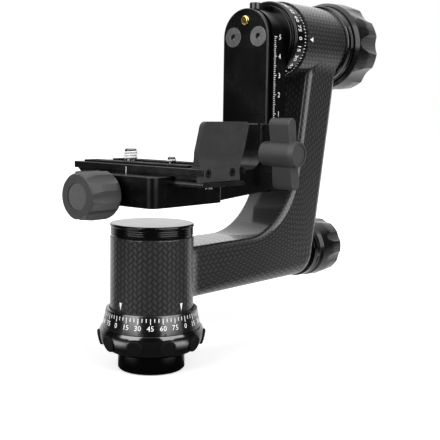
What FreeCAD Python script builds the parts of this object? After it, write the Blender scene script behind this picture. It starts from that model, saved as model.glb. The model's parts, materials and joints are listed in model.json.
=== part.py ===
"""Gimbal tripod head for long lenses, as a parametric document of separate pieces.

Frame: millimetres, +Z up along the pan axis, origin where that axis meets the foot's
lower face. +X runs along the tilt axis from the pan axis towards the knobs.
"""
import FreeCAD, Part
import os
import re

import Sketcher
from FreeCAD import Placement, Rotation, Vector

SIZES = {
    # Clearances
    "shaft_gap": 0.06,
    "slide_gap": 0.12,
    "face_gap": 0.3,
    "pass_gap": 0.5,
    # Foot, grip ring and pan scale
    "foot_radius": 20.7,
    "foot_neck": 11.2,
    "edge_break": 0.8,
    "thread_radius": 4.0,
    "thread_depth": 12.0,
    "grip_radius": 32.0,
    "grip_low_radius": 23.6,
    "grip_seat_radius": 22.4,
    "grip_height": 15.1,
    "grip_round": 11.0,
    "stud_count": 10,
    "stud_radius": 5.0,
    "stud_rise": 8.5,
    "stud_tilt": 14.0,
    "stud_sunk": 3.0,
    "stud_proud": 0.9,
    "stud_phase": 26.3,
    "scale_radius": 30.2,
    "scale_top_radius": 28.1,
    "scale_height": 11.7,
    # Spindle and axle, with their sealed bearings
    "spindle_flange": 3.4,
    "spindle_flange_radius": 20.6,
    "spigot_radius": 10.0,
    "spigot_depth": 7.8,
    "spindle_screw_circle": 17.2,
    "spindle_screw_radius": 1.5,
    "spindle_screw_sink": 1.4,
    "spindle_screw_length": 7.0,
    "shoulder_step": 1.5,
    "shoulder_radius": 14.0,
    "bearing_bore": 12.5,
    "bearing_outer": 18.5,
    "bearing_width": 7.0,
    "race_wall": 1.8,
    "seal_inset": 0.8,
    "clip_width": 1.2,
    "liner_lip": 1.3,
    "drum_radius": 15.4,
    "drum_height": 20.0,
    "nut_radius": 14.0,
    "nut_width": 4.0,
    "nut_bore": 10.0,
    "nut_slot_depth": 1.6,
    "nut_slot_half": 1.7,
    "upper_bearing_drop": 13.0,
    # Arm
    "sleeve_radius": 25.6,
    "shell_wall": 2.8,
    "sleeve_height": 52.4,
    "cap_rise": 7.7,
    "cap_wall": 3.0,
    "cap_groove": 0.25,
    "cap_undercut": 0.9,
    "cap_inset": 0.3,
    "cap_lip": 0.2,
    "cap_round": 1.0,
    "elbow_height": 57.7,
    "tilt_height": 208.5,
    "limb_bottom": 42.2,
    "limb_thick": 33.0,
    "limb_half_width": 20.0,
    "limb_reach": 151.5,
    "limb_depth": 38.0,
    "limb_overrun": 7.28,
    "crook_round": 50.0,
    "elbow_round": 17.0,
    "limb_inner_edge": 5.0,
    "limb_outer_edge": 9.0,
    "root_flare": 25.0,
    "top_flare": 20.0,
    "housing_radius": 27.0,
    "housing_length": 47.2,
    "bearing_inset": 4.2,
    "bearing_spacing": 24.0,
    "rod_radius": 3.8,
    "shoe_radius": 6.0,
    "shoe_length": 8.5,
    "brake_gap": 0.36,
    # Drag knobs and the collars that they turn in
    "elbow_collar_radius": 19.8,
    "elbow_collar_width": 8.3,
    "elbow_collar_inset": 1.5,
    "elbow_spigot_radius": 11.0,
    "elbow_spigot_length": 18.0,
    "elbow_stem_radius": 4.0,
    "elbow_knob_radius": 21.3,
    "elbow_knob_length": 27.5,
    "elbow_flute_radius": 9.5,
    "elbow_flute_depth": 2.7,
    "tilt_collar_radius": 29.0,
    "tilt_collar_width": 8.5,
    "tilt_stem_radius": 5.0,
    "tilt_knob_radius": 32.6,
    "tilt_knob_length": 30.5,
    "tilt_flute_radius": 14.5,
    "tilt_flute_depth": 4.2,
    "knob_shoulder": 2.8,
    "knob_crown": 0.8,
    "knob_round": 3.0,
    "tilt_cap_radius": 16.0,
    "elbow_cap_radius": 8.0,
    "cap_sunk": 0.6,
    "cap_thick": 1.0,
    "tilt_knob_phase": 42.0,
    "elbow_knob_phase": 20.0,
    "flute_count": 8,
    "flute_slope": 7.0,
    # Swing rail on the axle
    "rail_front": 88.4,
    "rail_depth": 20.6,
    "rail_half_width": 19.0,
    "rail_foot_rise": 2.7,
    "dove_lip": 2.3,
    "dove_depth": 2.6,
    "dove_neck": 1.3,
    "axle_flange_radius": 17.0,
    "axle_flange_width": 6.0,
    "ring_neck_radius": 23.0,
    "ring_neck_width": 2.3,
    "ring_radius": 26.0,
    "ring_width": 12.9,
    "tick_band": 3.7,
    "tick_fall": 0.8,
    "rail_screw_offset": 10.6,
    "rail_screw_radius": 3.0,
    "rail_head_radius": 6.7,
    "rail_head_sunk": 0.4,
    "hex_across": 4.0,
    "hex_depth": 3.0,
    "stop_screw_radius": 3.9,
    "stop_screw_rise": 4.6,
    "pin_height": 11.0,
    "pin_radius": 3.2,
    "pin_proud": 1.8,
    "pin_flange": 0.9,
    "pin_flange_sunk": 3.0,
    "pin_flange_width": 2.0,
    "pin_tail": 3.0,
    # Cradle on the rail
    "cradle_half_width": 23.0,
    "cradle_face": 79.0,
    "cradle_back": 97.5,
    "swing_clearance": 12.0,
    "cradle_rise": 48.7,
    "heel_rise": 4.0,
    "heel_round": 14.0,
    "cradle_inner_round": 12.5,
    "shelf_rise": 19.0,
    "jaw_foot_rise": 15.6,
    "jaw_wall": 3.8,
    "wing_axis_x": 83.2,
    "wing_axis_rise": 29.2,
    "wing_screw_radius": 3.0,
    "wing_barrel_radius": 8.0,
    "wing_barrel_length": 7.0,
    "wing_span": 23.6,
    "wing_width": 16.0,
    "wing_thick": 8.6,
    "wing_turn": 8.0,
    "wing_waist": 7.2,
    "wing_hub_radius": 8.8,
    "wing_nose": 4.2,
    "wing_cap_radius": 6.6,
    "set_screw_radius": 1.5,
    "set_screw_inset": 8.4,
    "set_screw_drop": 5.6,
    # Clamp and lens plate
    "clamp_lift": 1.1,
    "clamp_end": 26.2,
    "clamp_half_length": 34.0,
    "clamp_base": 12.6,
    "clamp_jaw_rise": 5.2,
    "clamp_corner": 3.0,
    "jaw_outer": 34.7,
    "jaw_split": 24.8,
    "jaw_corner": 5.0,
    "tongue_length": 12.0,
    "tongue_half_width": 16.0,
    "tongue_thick": 5.0,
    "tongue_root": 4.0,
    "bolt_offset": 9.6,
    "bolt_radius": 2.5,
    "bolt_length": 9.0,
    "bolt_head_radius": 4.3,
    "bolt_head_height": 2.8,
    "clamp_screw_radius": 4.0,
    "clamp_screw_drop": 6.2,
    "clamp_screw_reach": 10.0,
    "guide_offset": 23.0,
    "guide_radius": 2.5,
    "guide_length": 18.0,
    "guide_grip": 8.0,
    "qr_knob_gap": 1.3,
    "qr_knob_length": 24.2,
    "qr_knob_radius": 14.2,
    "qr_knob_end_radius": 13.2,
    "qr_knob_base_radius": 9.5,
    "qr_knob_swell": 6.0,
    "qr_knob_straight": 10.0,
    "qr_cap_radius": 7.8,
    "qr_flute_radius": 5.2,
    "qr_flute_depth": 1.7,
    "plate_half_width": 19.0,
    "plate_height": 10.4,
    "plate_lip": 1.4,
    "plate_neck_top": 6.4,
    "plate_far": 49.5,
    "plate_near": 56.8,
    "plate_nose": 3.9,
    "slot_half_width": 4.9,
    "slot_near": 32.0,
    "slot_far": 34.0,
    "pad_thick": 1.2,
    "pad_inner": 6.6,
    "pad_outer": 17.4,
    "pad_far": 42.0,
    "pad_near": 44.0,
    "large_screw_place": 18.8,
    "large_screw_radius": 4.76,
    "large_screw_rise": 8.4,
    "small_screw_place": -15.8,
    "small_screw_radius": 3.17,
    "small_screw_rise": 4.8,
    "screw_head_radius": 7.6,
    "screw_head_height": 3.6,
    "screw_head_sunk": 0.6,
    "screw_neck": 0.5,
    "driver_slot": 1.6,
    "flange_half_width": 20.2,
    "flange_foot_half": 17.6,
    "flange_inset": 2.8,
    "flange_thick": 2.6,
    "flange_panel": 2.8,
    "flange_foot_rise": 2.6,
    "flange_crease": 16.7,
    "flange_top": 36.6,
    "flange_lean": 4.6,
    "flange_cheek": 17.6,
    "flange_cheek_low": 1.4,
    "flange_cheek_rise": 4.3,
    "flange_corner": 3.0,
    "flange_sweep": 5.0,
    "flange_sweep_rise": 8.6,
    "flange_sweep_round": 12.0,
    "flange_screw_offset": 10.6,
    "flange_screw_rise": 7.4,
    "flange_screw_radius": 1.5,
    "flange_screw_sink": 1.2,
    "flange_screw_length": 9.0,
    "stop_pin_radius": 2.6,
    "stop_pin_shank": 1.6,
    "stop_pin_hang": 2.4,
    "stop_pin_near": 44.5,
    "stop_pin_far": 42.4,
}

# Levels and stations that follow from the sizes, as expressions.
SCALE_BASE = "(foot_neck + grip_height)"
SPINDLE_TOP = f"({SCALE_BASE} + spindle_flange)"
SLEEVE_FOOT = f"({SPINDLE_TOP} + pass_gap)"
SLEEVE_TOP = f"({SLEEVE_FOOT} + sleeve_height)"
LOWER_BEARING = f"({SPINDLE_TOP} + shoulder_step)"
UPPER_BEARING = f"({SLEEVE_TOP} - upper_bearing_drop)"
SLEEVE_BORE = "(sleeve_radius - shell_wall)"
CAP_TOP = f"({SLEEVE_TOP} + cap_rise)"
RAIL_BACK = "(rail_front + rail_depth)"
FLANGE_END = f"({RAIL_BACK} + axle_flange_width)"
RING_START = f"({RAIL_BACK} + ring_neck_width)"
RING_END = f"({RING_START} + ring_width)"
HOUSING_START = f"({RING_END} + pass_gap)"
HOUSING_END = f"({HOUSING_START} + housing_length)"
HOUSING_BORE = "(housing_radius - shell_wall)"
FRONT_BEARING = f"({HOUSING_START} + bearing_inset)"
REAR_BEARING = f"({FRONT_BEARING} + bearing_spacing)"
REAR_BEARING_END = f"({REAR_BEARING} + bearing_width)"
AXLE_END = f"({REAR_BEARING_END} + nut_width + shoulder_step)"
TILT_COLLAR_END = f"({HOUSING_END} + tilt_collar_width)"
LIMB_TOP = "(limb_bottom + limb_thick)"
LEAN = (f"atan(({HOUSING_END} + limb_overrun - limb_reach)"
        " / (tilt_height - elbow_height))")
CROOK_Z = f"({LIMB_TOP} + crook_round)"
CROOK_X = (f"(limb_reach + ({CROOK_Z} - elbow_height) * tan({LEAN}) - limb_depth"
           f" - crook_round / cos({LEAN}))")
ELBOW_Z = "(limb_bottom + elbow_round)"
ELBOW_X = (f"(limb_reach + ({ELBOW_Z} - elbow_height) * tan({LEAN})"
           f" - elbow_round / cos({LEAN}))")
FLARE_DROP = "sqrt((housing_radius + top_flare) ^ 2 - (limb_half_width + top_flare) ^ 2)"
FLARE_Z = f"(tilt_height - {FLARE_DROP})"
FLARE_SHARE = "(housing_radius / (housing_radius + top_flare))"
LIMB_END_Z = f"(tilt_height - {FLARE_SHARE} * {FLARE_DROP})"
LIMB_END_Y = f"({FLARE_SHARE} * (limb_half_width + top_flare))"
ROOT_X = "sqrt((sleeve_radius + root_flare) ^ 2 - (limb_half_width + root_flare) ^ 2)"
ROOT_SHARE = "(sleeve_radius / (sleeve_radius + root_flare))"
ELBOW_SEAT = "(limb_reach - elbow_collar_inset)"
ELBOW_COLLAR_END = f"({ELBOW_SEAT} + elbow_collar_width)"
SHOE_START = "(drum_radius + brake_gap)"
STEM_TIP = f"({ELBOW_SEAT} - elbow_spigot_length - shoulder_step)"
TOE_Z = f"({CAP_TOP} + swing_clearance)"
CLAMP_BOTTOM = f"({TOE_Z} + clamp_lift)"
PLATE_Z = f"({CLAMP_BOTTOM} + clamp_base)"
PLATE_TOP = f"({PLATE_Z} + plate_height)"
CLAMP_AXIS_Z = f"({PLATE_Z} - clamp_screw_drop)"
JAW_TOP = f"({PLATE_Z} + clamp_jaw_rise)"
NOTCH_X = "(plate_half_width - dove_depth)"
FLANGE_FACE = "(plate_near - flange_inset)"
FLANGE_SEAT = f"({FLANGE_FACE} - flange_thick)"
RAIL_FOOT = f"({TOE_Z} + rail_foot_rise)"
CRADLE_TOP = f"({TOE_Z} + cradle_rise)"
JAW_FOOT = f"({TOE_Z} + jaw_foot_rise)"
JAW_FACE = "(rail_half_width + slide_gap)"
JAW_SIDE = f"({JAW_FACE} + jaw_wall)"
WING_Z = f"({TOE_Z} + wing_axis_rise)"
SET_SCREW_X = "(cradle_back - set_screw_inset)"
SET_SCREW_Z = f"({CRADLE_TOP} - set_screw_drop)"
PIN_STEP = "(rail_front + pin_flange_sunk)"
HOOK_IN = f"({JAW_FACE} - dove_depth)"
HOOK_BACK = "(rail_front + dove_lip + dove_depth + dove_neck - slide_gap)"
BOLT_X = "(clamp_end - tongue_length / 2)"

doc = FreeCAD.newDocument("GimbalHead")
sheet = doc.addObject("Spreadsheet::Sheet", "Sizes")
for row, (alias, size) in enumerate(SIZES.items(), start=1):
    sheet.set(f"A{row}", alias)
    sheet.set(f"B{row}", str(size))
    sheet.setAlias(f"B{row}", alias)
doc.recompute()

nodes = []


def bind(text):
    """The expression with each size name pointed at the sheet."""
    return re.sub(r"[a-z_]+[a-z0-9_]*",
                  lambda word: "Sizes." + word.group() if word.group() in SIZES else word.group(),
                  text)


def value(text):
    """The expression's present value in millimetres or degrees."""
    return float(sheet.evalExpression(text))


def new_body(label, x="0", y="0", z="0"):
    """A body named label whose own origin stands at x, y, z."""
    body = doc.addObject("PartDesign::Body", label)
    body.Label = label
    for axis, text in zip("xyz", (x, y, z)):
        if text != "0":
            body.setExpression(f"Placement.Base.{axis}", bind(text))
    nodes.append(body)
    return body


def origin_item(body, role):
    return [item for item in body.Origin.OriginFeatures if item.Role == role][0]


def fix_point(sketch, geometry, position, x, y):
    """Pins one end or centre at x, y, which are expressions."""
    for kind, axis, text in (("DistanceX", -2, x), ("DistanceY", -1, y)):
        if text == "0":
            sketch.addConstraint(Sketcher.Constraint("PointOnObject", geometry, position, axis))
            continue
        number = sketch.addConstraint(
            Sketcher.Constraint(kind, -1, 1, geometry, position, value(text)))
        sketch.setExpression(f"Constraints[{number}]", bind(text))


def fix_radius(sketch, geometry, radius):
    number = sketch.addConstraint(Sketcher.Constraint("Radius", geometry, value(radius)))
    sketch.setExpression(f"Constraints[{number}]", bind(radius))


def add_circle(sketch, x, y, radius):
    circle = Part.Circle(Vector(value(x), value(y), 0), Vector(0, 0, 1), value(radius))
    geometry = sketch.addGeometry(circle)
    fix_point(sketch, geometry, 3, x, y)
    fix_radius(sketch, geometry, radius)


def arc_centre(start, end, radius, left):
    middle = (start + end) * 0.5
    half = (end - start) * 0.5
    side = Vector(-half.y, half.x, 0).normalize()
    rise = max(radius ** 2 - half.Length ** 2, 0.0) ** 0.5
    return middle + side * (rise if left else -rise)


def add_outline(sketch, points):
    """A closed outline through points, each (x, y) or, where an arc ends there,
    (x, y, radius, "left" or "right") with the side that the arc's centre lies on."""
    count = len(points)
    places = [Vector(value(point[0]), value(point[1]), 0) for point in points]
    ends = []
    for index in range(count):
        target = (index + 1) % count
        start, end = places[index], places[target]
        if len(points[target]) == 2:
            ends.append((sketch.addGeometry(Part.LineSegment(start, end)), 1, 2))
            continue
        left = points[target][3] == "left"
        radius = value(points[target][2])
        centre = arc_centre(start, end, radius, left)
        circle = Part.Circle(centre, Vector(0, 0, 1), radius)
        first, last = (start, end) if left else (end, start)
        arc = Part.ArcOfCircle(circle, circle.parameter(first), circle.parameter(last))
        ends.append((sketch.addGeometry(arc),) + ((1, 2) if left else (2, 1)))
    for index in range(count):
        target = (index + 1) % count
        sketch.addConstraint(Sketcher.Constraint(
            "Coincident", ends[index][0], ends[index][2], ends[target][0], ends[target][1]))
        fix_point(sketch, ends[index][0], ends[index][1], *points[index][:2])
        if len(points[target]) > 2:
            fix_radius(sketch, ends[index][0], points[target][2])


def draw(body, plane, *loops, lift="0"):
    """A sketch on the body's XY, XZ or YZ plane, lifted along +Z, -Y or +X. A loop of
    three expressions is a circle (x, y, radius); any other is an outline."""
    sketch = body.newObject("Sketcher::SketchObject", body.Label + "_sketch")
    sketch.AttachmentSupport = (origin_item(body, plane + "_Plane"), [""])
    sketch.MapMode = "FlatFace"
    if lift != "0":
        sketch.setExpression("AttachmentOffset.Base.z", bind(lift))
    for loop in loops:
        if isinstance(loop[0], str):
            add_circle(sketch, *loop)
        else:
            add_outline(sketch, loop)
    doc.recompute()
    return sketch


def extrude(body, kind, sketch, length, both_ways=False, backwards=False):
    """Adds (Pad) or cuts (Pocket) the sketch along its normal."""
    feature = body.newObject("PartDesign::" + kind, f"{body.Label}_{kind}")
    feature.Profile = (sketch, [""])
    if length is None:
        feature.Type = "ThroughAll"
    else:
        feature.setExpression("Length", bind(length))
    if both_ways:
        feature.SideType = "Symmetric"
    feature.Reversed = backwards
    doc.recompute()
    return feature


def revolve(body, kind, sketch, axis):
    """Adds (Revolution) or cuts (Groove) a full turn about the sketch's H or V axis."""
    feature = body.newObject("PartDesign::" + kind, f"{body.Label}_{kind}")
    feature.Profile = (sketch, [""])
    feature.ReferenceAxis = (sketch, [axis + "_Axis"])
    feature.Angle = 360
    doc.recompute()
    return feature


def spin(body, axis, phase):
    """Stands a body turned by phase about its own axis."""
    pole = {"X": Vector(1, 0, 0), "Y": Vector(0, -1, 0), "Z": Vector(0, 0, 1)}[axis]
    body.Placement = Placement(body.Placement.Base, Rotation(pole, value(phase)))
    body.setExpression("Placement.Rotation.Angle", bind(phase))


def turned(label, axis, *outlines, x="0", y="0", z="0", phase=None):
    """A turned piece. Its outlines are (along, radius) points about its own X or Y axis,
    or (radius, along) points about its own Z axis."""
    body = new_body(label, x, y, z)
    if phase:
        spin(body, axis, phase)
    sketch = draw(body, "YZ" if axis == "Y" else "XZ", *outlines)
    revolve(body, "Revolution", sketch, "V" if axis == "Z" else "H")
    return body


def polar(body, features, axis, count):
    """Repeats features count times round one of the body's own axes."""
    pattern = body.newObject("PartDesign::PolarPattern", body.Label + "_pattern")
    pattern.Originals = features
    pattern.Axis = (origin_item(body, axis + "_Axis"), [""])
    pattern.Angle = 360
    if count in SIZES:
        pattern.setExpression("Occurrences", bind(count))
    else:
        pattern.Occurrences = int(count)
    body.Tip = pattern
    doc.recompute()
    return pattern


def mirrored(body, features, plane="XZ"):
    mirror = body.newObject("PartDesign::Mirrored", body.Label + "_mirror")
    mirror.Originals = features
    mirror.MirrorPlane = (origin_item(body, plane + "_Plane"), [""])
    body.Tip = mirror
    doc.recompute()
    return mirror


def dress(body, kind, size, chosen):
    """A Fillet or Chamfer on each edge of the body that chosen(edge) picks."""
    edges = [f"Edge{number}" for number, edge in enumerate(body.Tip.Shape.Edges, start=1)
             if chosen(edge)]
    base = body.Tip
    feature = body.newObject("PartDesign::" + kind, f"{body.Label}_{kind}")
    feature.Base = (base, edges)
    feature.setExpression("Radius" if kind == "Fillet" else "Size", bind(size))
    doc.recompute()
    return feature


def middle(edge):
    return edge.valueAt((edge.FirstParameter + edge.LastParameter) / 2)


def near(number, text):
    return abs(number - value(text)) < 1e-4


def is_circle(edge, radius):
    return isinstance(edge.Curve, Part.Circle) and near(edge.Curve.Radius, radius)


def along(edge, direction):
    """True for a straight edge that runs along the direction."""
    if not isinstance(edge.Curve, Part.Line):
        return False
    return abs(abs(edge.tangentAt(edge.FirstParameter).dot(Vector(*direction))) - 1) < 1e-6


def ring(low, high, inner, outer, swap=False):
    """A plain band: along from low to high, radius from inner to outer."""
    corners = [(low, inner), (low, outer), (high, outer), (high, inner)]
    return [(radius, place) for place, radius in corners] if swap else corners


def hexagon(x, y, across):
    """A hexagon with the given distance across its flats."""
    corner = f"({across} / sqrt(3))"
    half = f"({across} / 2)"
    return [(f"{x} + {corner}", y), (f"{x} + {corner} / 2", f"{y} + {half}"),
            (f"{x} - {corner} / 2", f"{y} + {half}"), (f"{x} - {corner}", y),
            (f"{x} - {corner} / 2", f"{y} - {half}"), (f"{x} + {corner} / 2", f"{y} - {half}")]


# ---------------------------------------------------------------- base

def foot():
    """Turned foot with the tripod's threaded hole below and the spindle's seat above."""
    body = turned("base_foot", "Z", [
        ("thread_radius", "0"), ("foot_radius - edge_break", "0"), ("foot_radius", "edge_break"),
        ("foot_radius", "foot_neck"), ("grip_seat_radius", "foot_neck"),
        ("grip_seat_radius", SCALE_BASE), ("spigot_radius", SCALE_BASE),
        ("spigot_radius", f"{SCALE_BASE} - spigot_depth"), ("0", f"{SCALE_BASE} - spigot_depth"),
        ("0", "thread_depth"), ("thread_radius", "thread_depth")])
    holes = draw(body, "XY", ("spindle_screw_circle", "0", "spindle_screw_radius"),
                 lift=SCALE_BASE)
    polar(body, [extrude(body, "Pocket", holes, "spindle_screw_length")], "Z", "4")


def grip():
    """Bowl-shaped grip ring with a socket for each rubber stud, and the studs."""
    body = turned("grip_ring", "Z", [
        ("grip_seat_radius", "foot_neck"), ("grip_low_radius", "foot_neck"),
        ("grip_radius", "foot_neck + grip_round - edge_break", "grip_round", "left"),
        ("grip_radius", f"{SCALE_BASE} - 2 * edge_break"),
        ("grip_radius - edge_break", SCALE_BASE), ("grip_seat_radius", SCALE_BASE)],
        phase="stud_phase")
    sockets = stud_sketch(body, "stud_radius", "stud_sunk")
    polar(body, [extrude(body, "Pocket", sockets, "grip_radius", backwards=True)],
          "Z", "stud_count")
    studs = new_body("grip_studs")
    spin(studs, "Z", "stud_phase")
    seat = stud_sketch(studs, "stud_radius", "stud_sunk")
    stud = extrude(studs, "Pad", seat, "stud_sunk + stud_proud")
    rounded = dress(studs, "Fillet", "stud_proud",
                    lambda edge: middle(edge).Length > value("grip_radius - 0.4"))
    polar(studs, [stud, rounded], "Z", "stud_count")


def stud_sketch(body, radius, depth):
    """A stud's circle on a plane that faces out and a little down, at the socket's floor."""
    sketch = body.newObject("Sketcher::SketchObject", body.Label + "_stud")
    sketch.AttachmentSupport = (origin_item(body, "YZ_Plane"), [""])
    sketch.MapMode = "FlatFace"
    sketch.AttachmentOffset = Placement(Vector(), Rotation(Vector(1, 0, 0), value("stud_tilt")))
    sketch.setExpression("AttachmentOffset.Rotation.Angle", bind("stud_tilt"))
    sketch.setExpression("AttachmentOffset.Base.y", bind("foot_neck + stud_rise"))
    sketch.setExpression("AttachmentOffset.Base.z", bind(f"grip_radius - {depth} - face_gap"))
    add_circle(sketch, "0", "0", radius)
    doc.recompute()
    return sketch


def spindle():
    """Flanged spindle with a brake drum between its two bearing seats, its four
    countersunk screws and the ring nut on its top."""
    body = turned("pan_spindle", "Z", [
        ("0", f"{SCALE_BASE} - spigot_depth"), ("spigot_radius", f"{SCALE_BASE} - spigot_depth"),
        ("spigot_radius", SCALE_BASE), ("spindle_flange_radius", SCALE_BASE),
        ("spindle_flange_radius", SPINDLE_TOP), ("shoulder_radius", SPINDLE_TOP),
        ("shoulder_radius", LOWER_BEARING), ("bearing_bore", LOWER_BEARING),
        ("bearing_bore", "elbow_height - drum_height / 2"),
        ("drum_radius", "elbow_height - drum_height / 2"),
        ("drum_radius", "elbow_height + drum_height / 2"),
        ("bearing_bore", "elbow_height + drum_height / 2"),
        ("bearing_bore", f"{UPPER_BEARING} + bearing_width"),
        ("nut_bore", f"{UPPER_BEARING} + bearing_width"),
        ("nut_bore", f"{UPPER_BEARING} + bearing_width + nut_width + 1"),
        ("0", f"{UPPER_BEARING} + bearing_width + nut_width + 1")])
    holes = draw(body, "XY", ("spindle_screw_circle", "0", "spindle_screw_radius"),
                 lift=SPINDLE_TOP)
    hole = extrude(body, "Pocket", holes, "spindle_flange")
    sink = dress(body, "Chamfer", "spindle_screw_sink",
                 lambda edge: is_circle(edge, "spindle_screw_radius")
                 and near(middle(edge).z, SPINDLE_TOP))
    polar(body, [hole, sink], "Z", "4")
    screws = new_body("spindle_screws")
    shank = "(spindle_screw_circle + spindle_screw_radius)"
    tip = f"({SPINDLE_TOP} - spindle_screw_length)"
    profile = draw(screws, "XZ", [
        ("spindle_screw_circle", tip), (shank, tip), (shank, f"{SPINDLE_TOP} - spindle_screw_sink"),
        (f"{shank} + spindle_screw_sink", SPINDLE_TOP), ("spindle_screw_circle", SPINDLE_TOP)])
    turn = screws.newObject("PartDesign::Revolution", "spindle_screw")
    turn.Profile = (profile, [""])
    turn.ReferenceAxis = (profile, ["Edge5"])
    turn.Angle = 360
    doc.recompute()
    polar(screws, [turn], "Z", "4")


def ring_nut(label, axis, start, x="0", y="0", z="0"):
    """Round nut with four spanner slots in its rim."""
    band = ring(start, f"{start} + nut_width", "nut_bore", "nut_radius", swap=axis == "Z")
    body = turned(label, axis, band, x=x, y=y, z=z)
    floor, rim = "nut_radius - nut_slot_depth", "nut_radius + nut_slot_depth"
    slot = draw(body, "XY" if axis == "Z" else "YZ", [
        (floor, "-nut_slot_half"), (rim, "-nut_slot_half"), (rim, "nut_slot_half"),
        (floor, "nut_slot_half")], lift=start)
    polar(body, [extrude(body, "Pocket", slot, "nut_width", backwards=True)], axis, "4")


def bearings(name, axis, first, second, z="0"):
    """Two sealed bearings: outer races with their seals, and inner races."""
    swap = axis == "Z"
    seal_edge = "(bearing_bore + race_wall + shaft_gap)"
    shells = []
    for start in (first, second):
        shell = [(start, seal_edge), (start, "bearing_outer"),
                 (f"{start} + bearing_width", "bearing_outer"),
                 (f"{start} + bearing_width", seal_edge),
                 (f"{start} + bearing_width - seal_inset", seal_edge),
                 (f"{start} + bearing_width - seal_inset", "bearing_outer - race_wall"),
                 (f"{start} + seal_inset", "bearing_outer - race_wall"), (f"{start} + seal_inset", seal_edge)]
        shells.append([(radius, place) for place, radius in shell] if swap else shell)
    turned(name + "_bearing_shells", axis, *shells, z=z)
    turned(name + "_bearing_cores", axis, *[
        ring(start, f"{start} + bearing_width", "bearing_bore", "bearing_bore + race_wall", swap)
        for start in (first, second)], z=z)
    clip = f"{second} + bearing_width"
    turned(name + "_bearing_clip", axis,
           ring(clip, f"{clip} + clip_width", "bearing_outer - race_wall", "bearing_outer", swap), z=z)


def scale_ring():
    """Conical ring that carries the pan scale."""
    turned("pan_scale_ring", "Z", [
        ("spindle_flange_radius", SCALE_BASE), ("scale_radius", SCALE_BASE),
        ("scale_top_radius", f"{SCALE_BASE} + scale_height"),
        ("sleeve_radius + pass_gap", f"{SCALE_BASE} + scale_height"),
        ("sleeve_radius + pass_gap", SPINDLE_TOP), ("spindle_flange_radius", SPINDLE_TOP)])


# ---------------------------------------------------------------- arm

def arm_shell():
    """Moulded carbon arm: upright sleeve, flared limb with a wide crook, leaning upright
    limb and the tilt housing, bored for its liners, the collars and the brake rod."""
    body = new_body("arm_shell")
    lean_in = f"sin({LEAN})"
    lean_up = f"cos({LEAN})"
    inner_at_top = f"limb_reach + ({LIMB_END_Z} - elbow_height) * tan({LEAN}) - limb_depth"
    outer_at_top = f"limb_reach + ({LIMB_END_Z} - elbow_height) * tan({LEAN})"
    root = f"{ROOT_SHARE} * {ROOT_X}"
    side = draw(body, "XZ", [
        (root, "limb_bottom"), (ELBOW_X, "limb_bottom"),
        (f"{ELBOW_X} + elbow_round * {lean_up}", f"{ELBOW_Z} - elbow_round * {lean_in}",
         "elbow_round", "left"),
        (outer_at_top, LIMB_END_Z), (inner_at_top, LIMB_END_Z),
        (f"{CROOK_X} + crook_round * {lean_up}", f"{CROOK_Z} - crook_round * {lean_in}"),
        (CROOK_X, LIMB_TOP, "crook_round", "right"), (root, LIMB_TOP)])
    extrude(body, "Pad", side, "2 * housing_radius", both_ways=True)

    reach = "2 * limb_reach"
    spare = "2 * housing_radius"
    root_y = f"{ROOT_SHARE} * (limb_half_width + root_flare)"
    plan = draw(body, "XY", [
        (root, root_y, "root_flare", "right"), (root, spare), (reach, spare),
        (reach, "limb_half_width"), (ROOT_X, "limb_half_width")])
    cut = extrude(body, "Pocket", plan, CROOK_Z, backwards=True)
    mirrored(body, [cut])
    front = draw(body, "YZ", [
        (LIMB_END_Y, LIMB_END_Z, "top_flare", "right"), (spare, LIMB_END_Z), (spare, CROOK_Z),
        ("limb_half_width", CROOK_Z), ("limb_half_width", FLARE_Z)])
    cut = extrude(body, "Pocket", front, None, backwards=True)
    mirrored(body, [cut])
    dress(body, "Fillet", "limb_inner_edge", lambda edge: on_limb(edge, inner=True))
    dress(body, "Fillet", "limb_outer_edge", lambda edge: on_limb(edge, inner=False))

    sleeve = draw(body, "XY", ("0", "0", "sleeve_radius"), lift=SLEEVE_FOOT)
    extrude(body, "Pad", sleeve, "sleeve_height")
    dress(body, "Fillet", "edge_break", lambda edge: is_circle(edge, "sleeve_radius")
          and near(middle(edge).z, SLEEVE_TOP))
    housing = draw(body, "YZ", ("0", "tilt_height", "housing_radius"), lift=HOUSING_START)
    extrude(body, "Pad", housing, "housing_length")
    tail = draw(body, "YZ", [("-" + spare, CROOK_Z), (spare, CROOK_Z),
                             (spare, "2 * tilt_height"), ("-" + spare, "2 * tilt_height")],
                lift=HOUSING_END)
    extrude(body, "Pocket", tail, None, backwards=True)

    bore = draw(body, "XY", ("0", "0", SLEEVE_BORE), lift=SLEEVE_FOOT)
    extrude(body, "Pocket", bore, "sleeve_height", backwards=True)
    bore = draw(body, "YZ", ("0", "tilt_height", HOUSING_BORE), lift=HOUSING_START)
    extrude(body, "Pocket", bore, "housing_length", backwards=True)
    bore = draw(body, "YZ", ("0", "elbow_height", "rod_radius + pass_gap"))
    extrude(body, "Pocket", bore, None, backwards=True)
    bore = draw(body, "YZ", ("0", "elbow_height", "shoe_radius + pass_gap"))
    extrude(body, "Pocket", bore, f"{SHOE_START} + shoe_length + pass_gap", backwards=True)
    bore = draw(body, "YZ", ("0", "elbow_height", "elbow_spigot_radius"),
                lift=f"{ELBOW_SEAT} - elbow_spigot_length")
    extrude(body, "Pocket", bore, None, backwards=True)
    seat = draw(body, "YZ", ("0", "elbow_height", "elbow_collar_radius + face_gap"),
                lift=ELBOW_SEAT)
    extrude(body, "Pocket", seat, "elbow_collar_width", backwards=True)


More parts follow.
